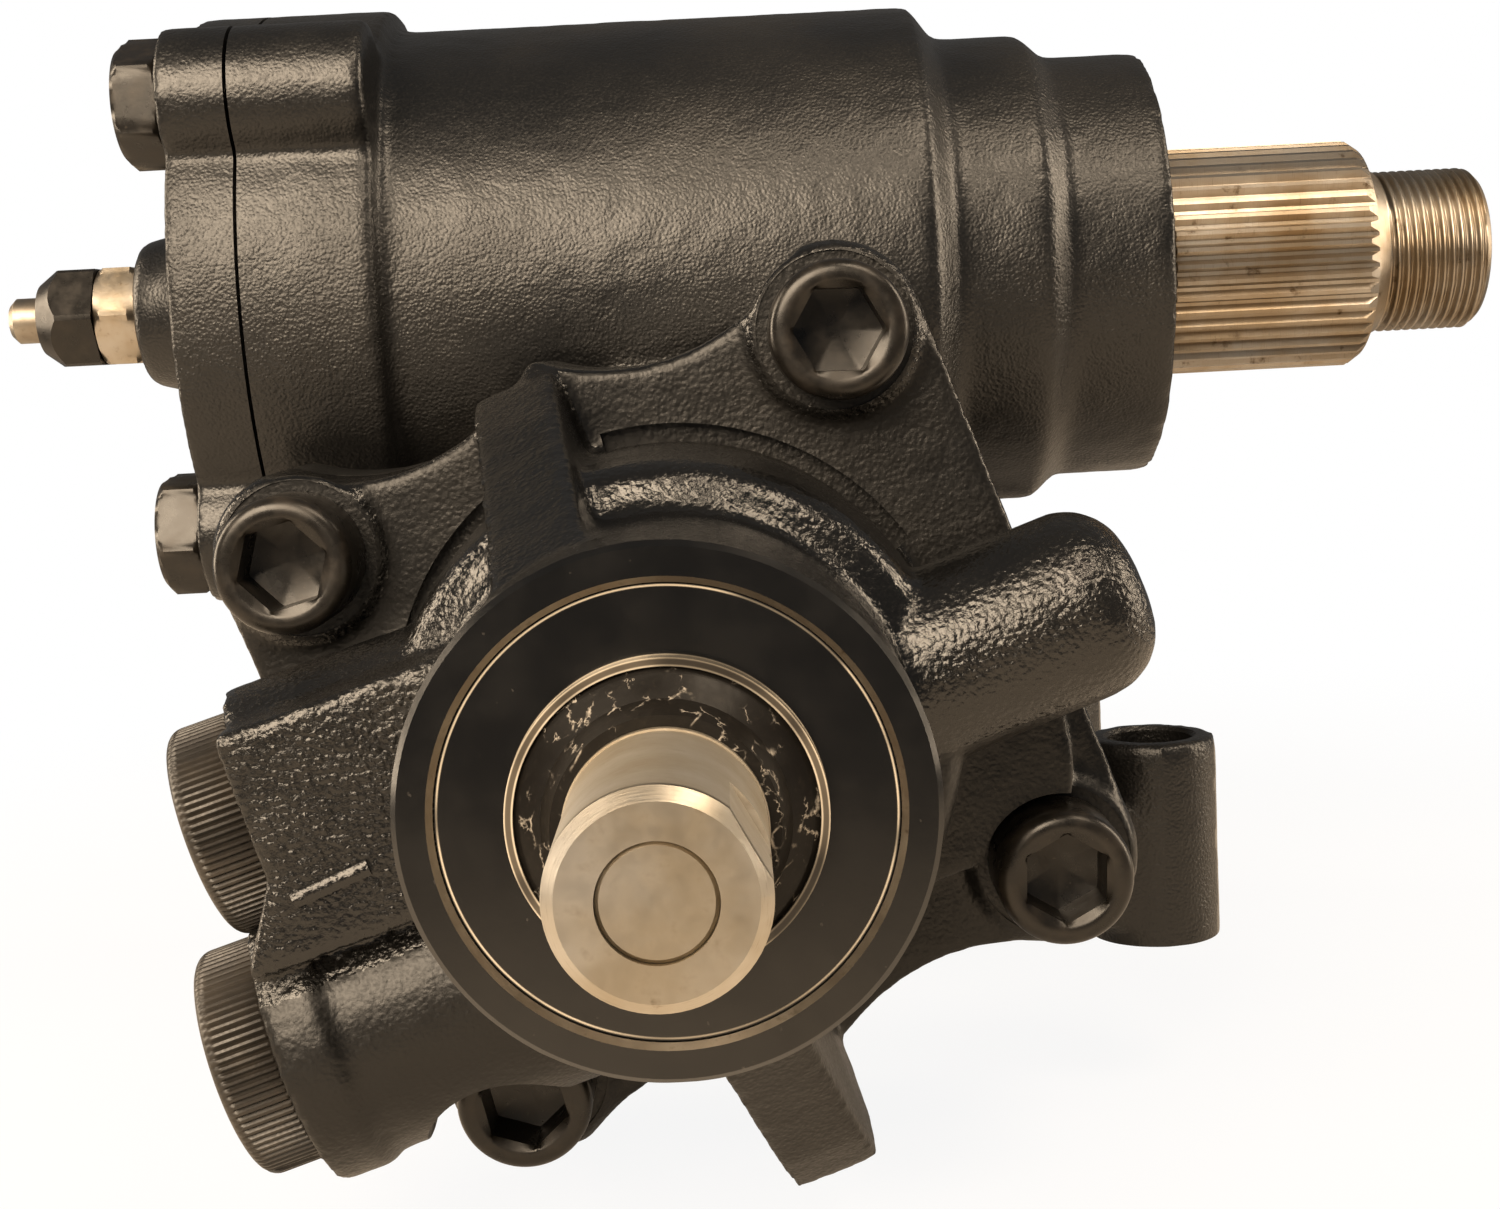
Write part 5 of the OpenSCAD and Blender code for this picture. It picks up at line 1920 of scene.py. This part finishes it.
@dataclass
class KnurledCap:
    """Shipping cap on a port, with a knurled rim."""

    node: str
    port: Port
    height: float = 8.5
    ridges: int = 92
    depth: float = 0.42
    stem_r: float = 7.9
    stem: float = 8.0
    rim_r: float = 1.8
    notch: float | None = None
    notch_half: float = 0.065
    notch_cut: float = 1.1
    notch_h: float = 3.2

    def build(self, finishes: Finishes) -> None:
        """Makes the cap.

        Args:
            finishes: Materials of the gearbox.
        """
        face = -self.port.reach - self.height
        back = -self.port.reach - 0.1
        r = self.port.cap_r
        rim = arc((r - self.rim_r, face + self.rim_r), self.rim_r, 270, 360, 7)
        profile = [
            (0, face + 0.5), (0.72 * r, face + 0.5), (0.76 * r, face), *rim, (r, face + 2.4), (r, back - 0.7),
            (r - 0.25, back - 0.3), (r - 0.6, back), *stepped(back, (self.stem_r, back + self.stem))[1:],
        ]
        mesh = Blank().lathe(profile, Axis.X, self.port.frame(), 6 * self.ridges, self._knurl).mesh(self.node)
        Workshop.dress(mesh, [finishes.cap], 50)
        Workshop.piece(self.node + "_knurled", mesh, "housing", "cap_plastic", self.node)

    def _knurl(self, radius: float, height: float, angle: float) -> float:
        """Radius with the knurl's grooves and the notch.

        Args:
            radius: Plain radius.
            height: Place along the cap's axis.
            angle: Angle around the cap.

        Returns:
            The cut radius.
        """
        face = -self.port.reach - self.height
        if radius < self.port.cap_r - 1.0 or height > -self.port.reach - 0.25:
            return radius
        fade = min(max((height - face - 0.5) / 1.2, 0.0), 1.0)
        groove = max(0.0, math.cos(angle * self.ridges)) ** 0.7 * self.depth * fade
        if self.notch is not None and height < face + self.notch_h:
            if abs((angle - self.notch + math.pi) % TAU - math.pi) < self.notch_half:
                return radius - self.notch_cut
        return radius - groove


@dataclass
class DropArmEnd:
    """Sector shaft from the construction, with a real thread on its free end."""

    cut_x: float = 118.7
    start: float = 117.6
    end: float = 135.5
    radius: float = 13.5
    pitch: float = 1.5
    depth: float = 0.85
    chamfer: float = 1.3
    rows: int = 12

    def build(self, node: bpy.types.Object, finishes: Finishes) -> None:
        """Copies the shaft, cuts off its plain end and adds the thread.

        Args:
            node: The shaft's CAD node.
            finishes: Materials of the gearbox.
        """
        work = bmesh.new()
        work.from_mesh(node.data)
        work.transform(node.matrix_world)
        parts = list(work.verts) + list(work.edges) + list(work.faces)
        cut = ((LAYOUT.axis_x + self.cut_x) * MM, 0, 0)
        bmesh.ops.bisect_plane(work, geom=parts, plane_co=cut, plane_no=(1, 0, 0), clear_outer=True)
        mesh = bpy.data.meshes.new("sector_shaft_body")
        work.to_mesh(mesh)
        work.free()
        thread = Blank()
        count = round((self.end - self.start) / self.pitch * self.rows)
        heights = [self.start + (self.end - self.start) * i / count for i in range(count + 1)]
        profile = [(0, self.start), *((self.radius, h) for h in heights), (0, self.end)]
        thread.lathe(profile, Axis.X, LAYOUT.sector(), 120, self._thread)
        joined = bmesh.new()
        joined.from_mesh(mesh)
        joined.from_mesh(thread.mesh("thread"))
        joined.to_mesh(mesh)
        joined.free()
        Workshop.dress(mesh, [finishes.sector_steel], 32)
        Workshop.piece("sector_shaft_threaded", mesh, "sector", "bare_steel", "sector_shaft")

    def _thread(self, radius: float, height: float, angle: float) -> float:
        """Radius of the thread.

        Args:
            radius: Outer radius.
            height: Place along the shaft.
            angle: Angle around the shaft.

        Returns:
            The thread's radius there.
        """
        turn = (height / self.pitch - angle / TAU) % 1.0
        tooth = min(max(1.35 * abs(2 * turn - 1) - 0.16, 0.0), 1.0)
        lead = max(height - (self.end - self.chamfer), 0.0)
        run_in = max(self.start + 2.2 - height, 0.0) * 0.6
        return min(radius - self.depth * tooth, radius - lead - 0.1, radius - run_in)


class Hardware:
    """CAD pieces that keep their solids and get their finish, with softened edges."""

    SOFTENED = {
        "adjuster_cap_nut": 0.5,
        "adjusting_screw": 0.4,
        "input_shaft": 0.25,
        "torsion_bar": 0.5,
        "front_bearing_plug": 0.45,
        "input_dust_seal": 0.3,
    }

    def __init__(self, frame: dict, finishes: Finishes) -> None:
        """Keeps the loaded frame.

        Args:
            frame: The loaded CAD frame.
            finishes: Materials of the gearbox.
        """
        self.nodes: dict[str, bpy.types.Object] = frame["nodes"]
        self.slots = {s["node"]: s["material_slot"] for s in frame["record"]["subparts"]}
        self.finishes = finishes
        worm = LAYOUT.worm()
        axis = self.nodes["front_bearing_plug"].matrix_world.inverted() @ worm.translation
        tip = self.nodes["input_shaft"].matrix_world.inverted() @ worm @ (Vector((0, LAYOUT.tip_y, 0)) * MM)
        shaft = ShaftSteel(tip=tip.y).material()
        self.special = {
            "front_bearing_plug": PlugEnamel(centre=axis).material(),
            "input_shaft": shaft,
            "torsion_bar": shaft,
            "adjusting_screw": finishes.worn,
            "sector_shaft": finishes.sector_steel,
            "input_dust_seal": finishes.cracked_seal,
        }

    def build(self) -> None:
        """Dresses every CAD node."""
        for name, node in self.nodes.items():
            material = self.special.get(name) or self.finishes.by_slot(self.slots[name])
            node.data.materials.clear()
            node.data.materials.append(material)
            node.data.shade_smooth()
            node.data.set_sharp_from_angle(angle=math.radians(30))
            if name in self.SOFTENED:
                soft = node.modifiers.new("soft", "BEVEL")
                soft.width = self.SOFTENED[name] * MM
                soft.segments = 2
                soft.limit_method = "ANGLE"
                soft.angle_limit = math.radians(35)
        LOG.info("dressed %d CAD nodes", len(self.nodes))


@dataclass(frozen=True)
class SoftBox:
    """A rectangular lamp: place and aim in metres, width and height, and power in watts."""

    name: str
    spot: Triple
    aim: Triple
    size: Point
    power: float
    colour: Colour = (1.0, 0.80, 0.58)

    def hang(self) -> None:
        """Adds the lamp to the scene."""
        data = bpy.data.lights.new(self.name, "AREA")
        data.shape = "RECTANGLE"
        data.size, data.size_y = self.size
        data.energy = self.power
        data.color = self.colour
        lamp = bpy.data.objects.new(self.name, data)
        bpy.context.scene.collection.objects.link(lamp)
        lamp.location = self.spot
        lamp.rotation_euler = (Vector(self.aim) - Vector(self.spot)).to_track_quat("-Z", "Y").to_euler()


@dataclass
class Studio:
    """Camera, lamps and white surroundings."""

    lamps: tuple[SoftBox, ...] = (
        SoftBox("front_key", (-0.38, -0.86, 0.58), (0, -0.04, 0.10), (0.8, 0.6), 25),
        SoftBox("high_fill", (0.34, -0.52, 0.85), (0.08, -0.10, 0.06), (0.4, 0.3), 5),
        SoftBox("left_strip", (-0.90, 0.10, 0.28), (0, -0.08, 0.08), (0.25, 0.8), 9),
        SoftBox("right_strip", (0.95, 0.05, 0.34), (0, -0.05, 0.08), (0.2, 0.8), 7),
    )
    camera_at: Vector = field(default_factory=lambda: Vector((2.48, -379.23, 94.1)) * MM)
    yaw: float = 0.33
    pitch: float = -6.92
    roll: float = -2.94
    focal_px: float = 2151.68
    image_px: float = 1500.0
    sensor: float = 36.0
    mirrored: float = 0.12
    floor_z: Point = (-26.0, -24.0)
    floor_half: float = 3000.0

    def build(self) -> None:
        """Makes the camera, the lamps and the floor."""
        scene = bpy.context.scene
        scene.view_settings.view_transform = "Standard"
        self._camera(scene)
        for lamp in self.lamps:
            lamp.hang()
        self._surroundings(scene)

    def _camera(self, scene: bpy.types.Scene) -> None:
        """Places the camera.

        Args:
            scene: Scene that it films.
        """
        yaw, pitch, roll = (math.radians(v) for v in (self.yaw, self.pitch, self.roll))
        ahead = Vector((math.sin(yaw) * math.cos(pitch), math.cos(yaw) * math.cos(pitch), math.sin(pitch)))
        level = Vector((math.cos(yaw), -math.sin(yaw), 0))
        rise = level.cross(ahead)
        right = level * math.cos(roll) + rise * math.sin(roll)
        up = rise * math.cos(roll) - level * math.sin(roll)
        data = bpy.data.cameras.new("photo_camera")
        data.sensor_width = self.sensor
        data.lens = self.focal_px / self.image_px * self.sensor
        data.clip_start, data.clip_end = 0.01, 20
        camera = bpy.data.objects.new("photo_camera", data)
        scene.collection.objects.link(camera)
        turn = Matrix((right, up, -ahead)).transposed()
        camera.matrix_world = Matrix.Translation(self.camera_at) @ turn.to_4x4()
        scene.camera = camera

    def _surroundings(self, scene: bpy.types.Scene) -> None:
        """Makes the white floor and world.

        Args:
            scene: Scene that they belong to.
        """
        scene.world = bpy.data.worlds.new("white_room")
        g = WorldGraph(scene.world)
        dim = g.add("ShaderNodeBackground", None, {0: (1, 0.9, 0.78, 1), 1: 0.02})
        white = g.add("ShaderNodeBackground", None, {0: (1, 1, 1, 1), 1: 1.0})
        g.show(g.add("ShaderNodeMixShader", None, {0: g.sight(self.mirrored), 1: dim, 2: white}))
        slab = Blank().prism(square(self.floor_half), *self.floor_z, Axis.Z, Matrix.Identity(4))
        floor = Workshop.link("floor", slab.mesh("floor"))
        floor.data.materials.append(self._floor_material())

    def _floor_material(self) -> bpy.types.Material:
        """Makes the white floor's shader, which keeps a faint shadow.

        Returns:
            The finished material.
        """
        g = Graph("white_floor")
        reach = g.reach(g.place())
        pale = g.add("ShaderNodeBsdfDiffuse", None, {0: (0.75, 0.75, 0.75, 1)})
        near = g.add("ShaderNodeBsdfDiffuse", None, {0: (0.72, 0.66, 0.58, 1)})
        far = g.add("ShaderNodeBsdfDiffuse", None, {0: (0.03, 0.027, 0.024, 1)})
        dull = g.add("ShaderNodeMixShader", None, {0: reach.between(0.28, 0.5), 1: near, 2: far})
        glow = g.add("ShaderNodeEmission", None, {0: (1, 1, 1, 1), 1: 1.0})
        lit = g.add("ShaderNodeMixShader", None, {0: reach.between(0.10, 0.42, 0.90, 1.0), 1: pale, 2: glow})
        g.show(g.add("ShaderNodeMixShader", None, {0: g.sight(self.mirrored), 1: dull, 2: lit}))
        return g.material


def main() -> None:
    """Builds the gearbox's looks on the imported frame."""
    logging.basicConfig(level=logging.INFO)
    for old in list(bpy.data.objects):
        bpy.data.objects.remove(old)
    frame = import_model()
    finishes = Finishes()
    Hardware(frame, finishes).build()
    DropArmEnd().build(frame["nodes"]["sector_shaft"], finishes)
    for piece in (
        GearHousing(),
        ValveHousing(),
        SideCover(),
        SocketBolts(),
        CoverBolts(),
        LockNut(),
        KnurledCap("port_cap_upper", UPPER_PORT),
        KnurledCap("port_cap_lower", LOWER_PORT, notch=math.radians(240)),
    ):
        piece.build(finishes)
    Studio().build()
    bpy.context.view_layer.update()


if __name__ == "__main__":
    main()
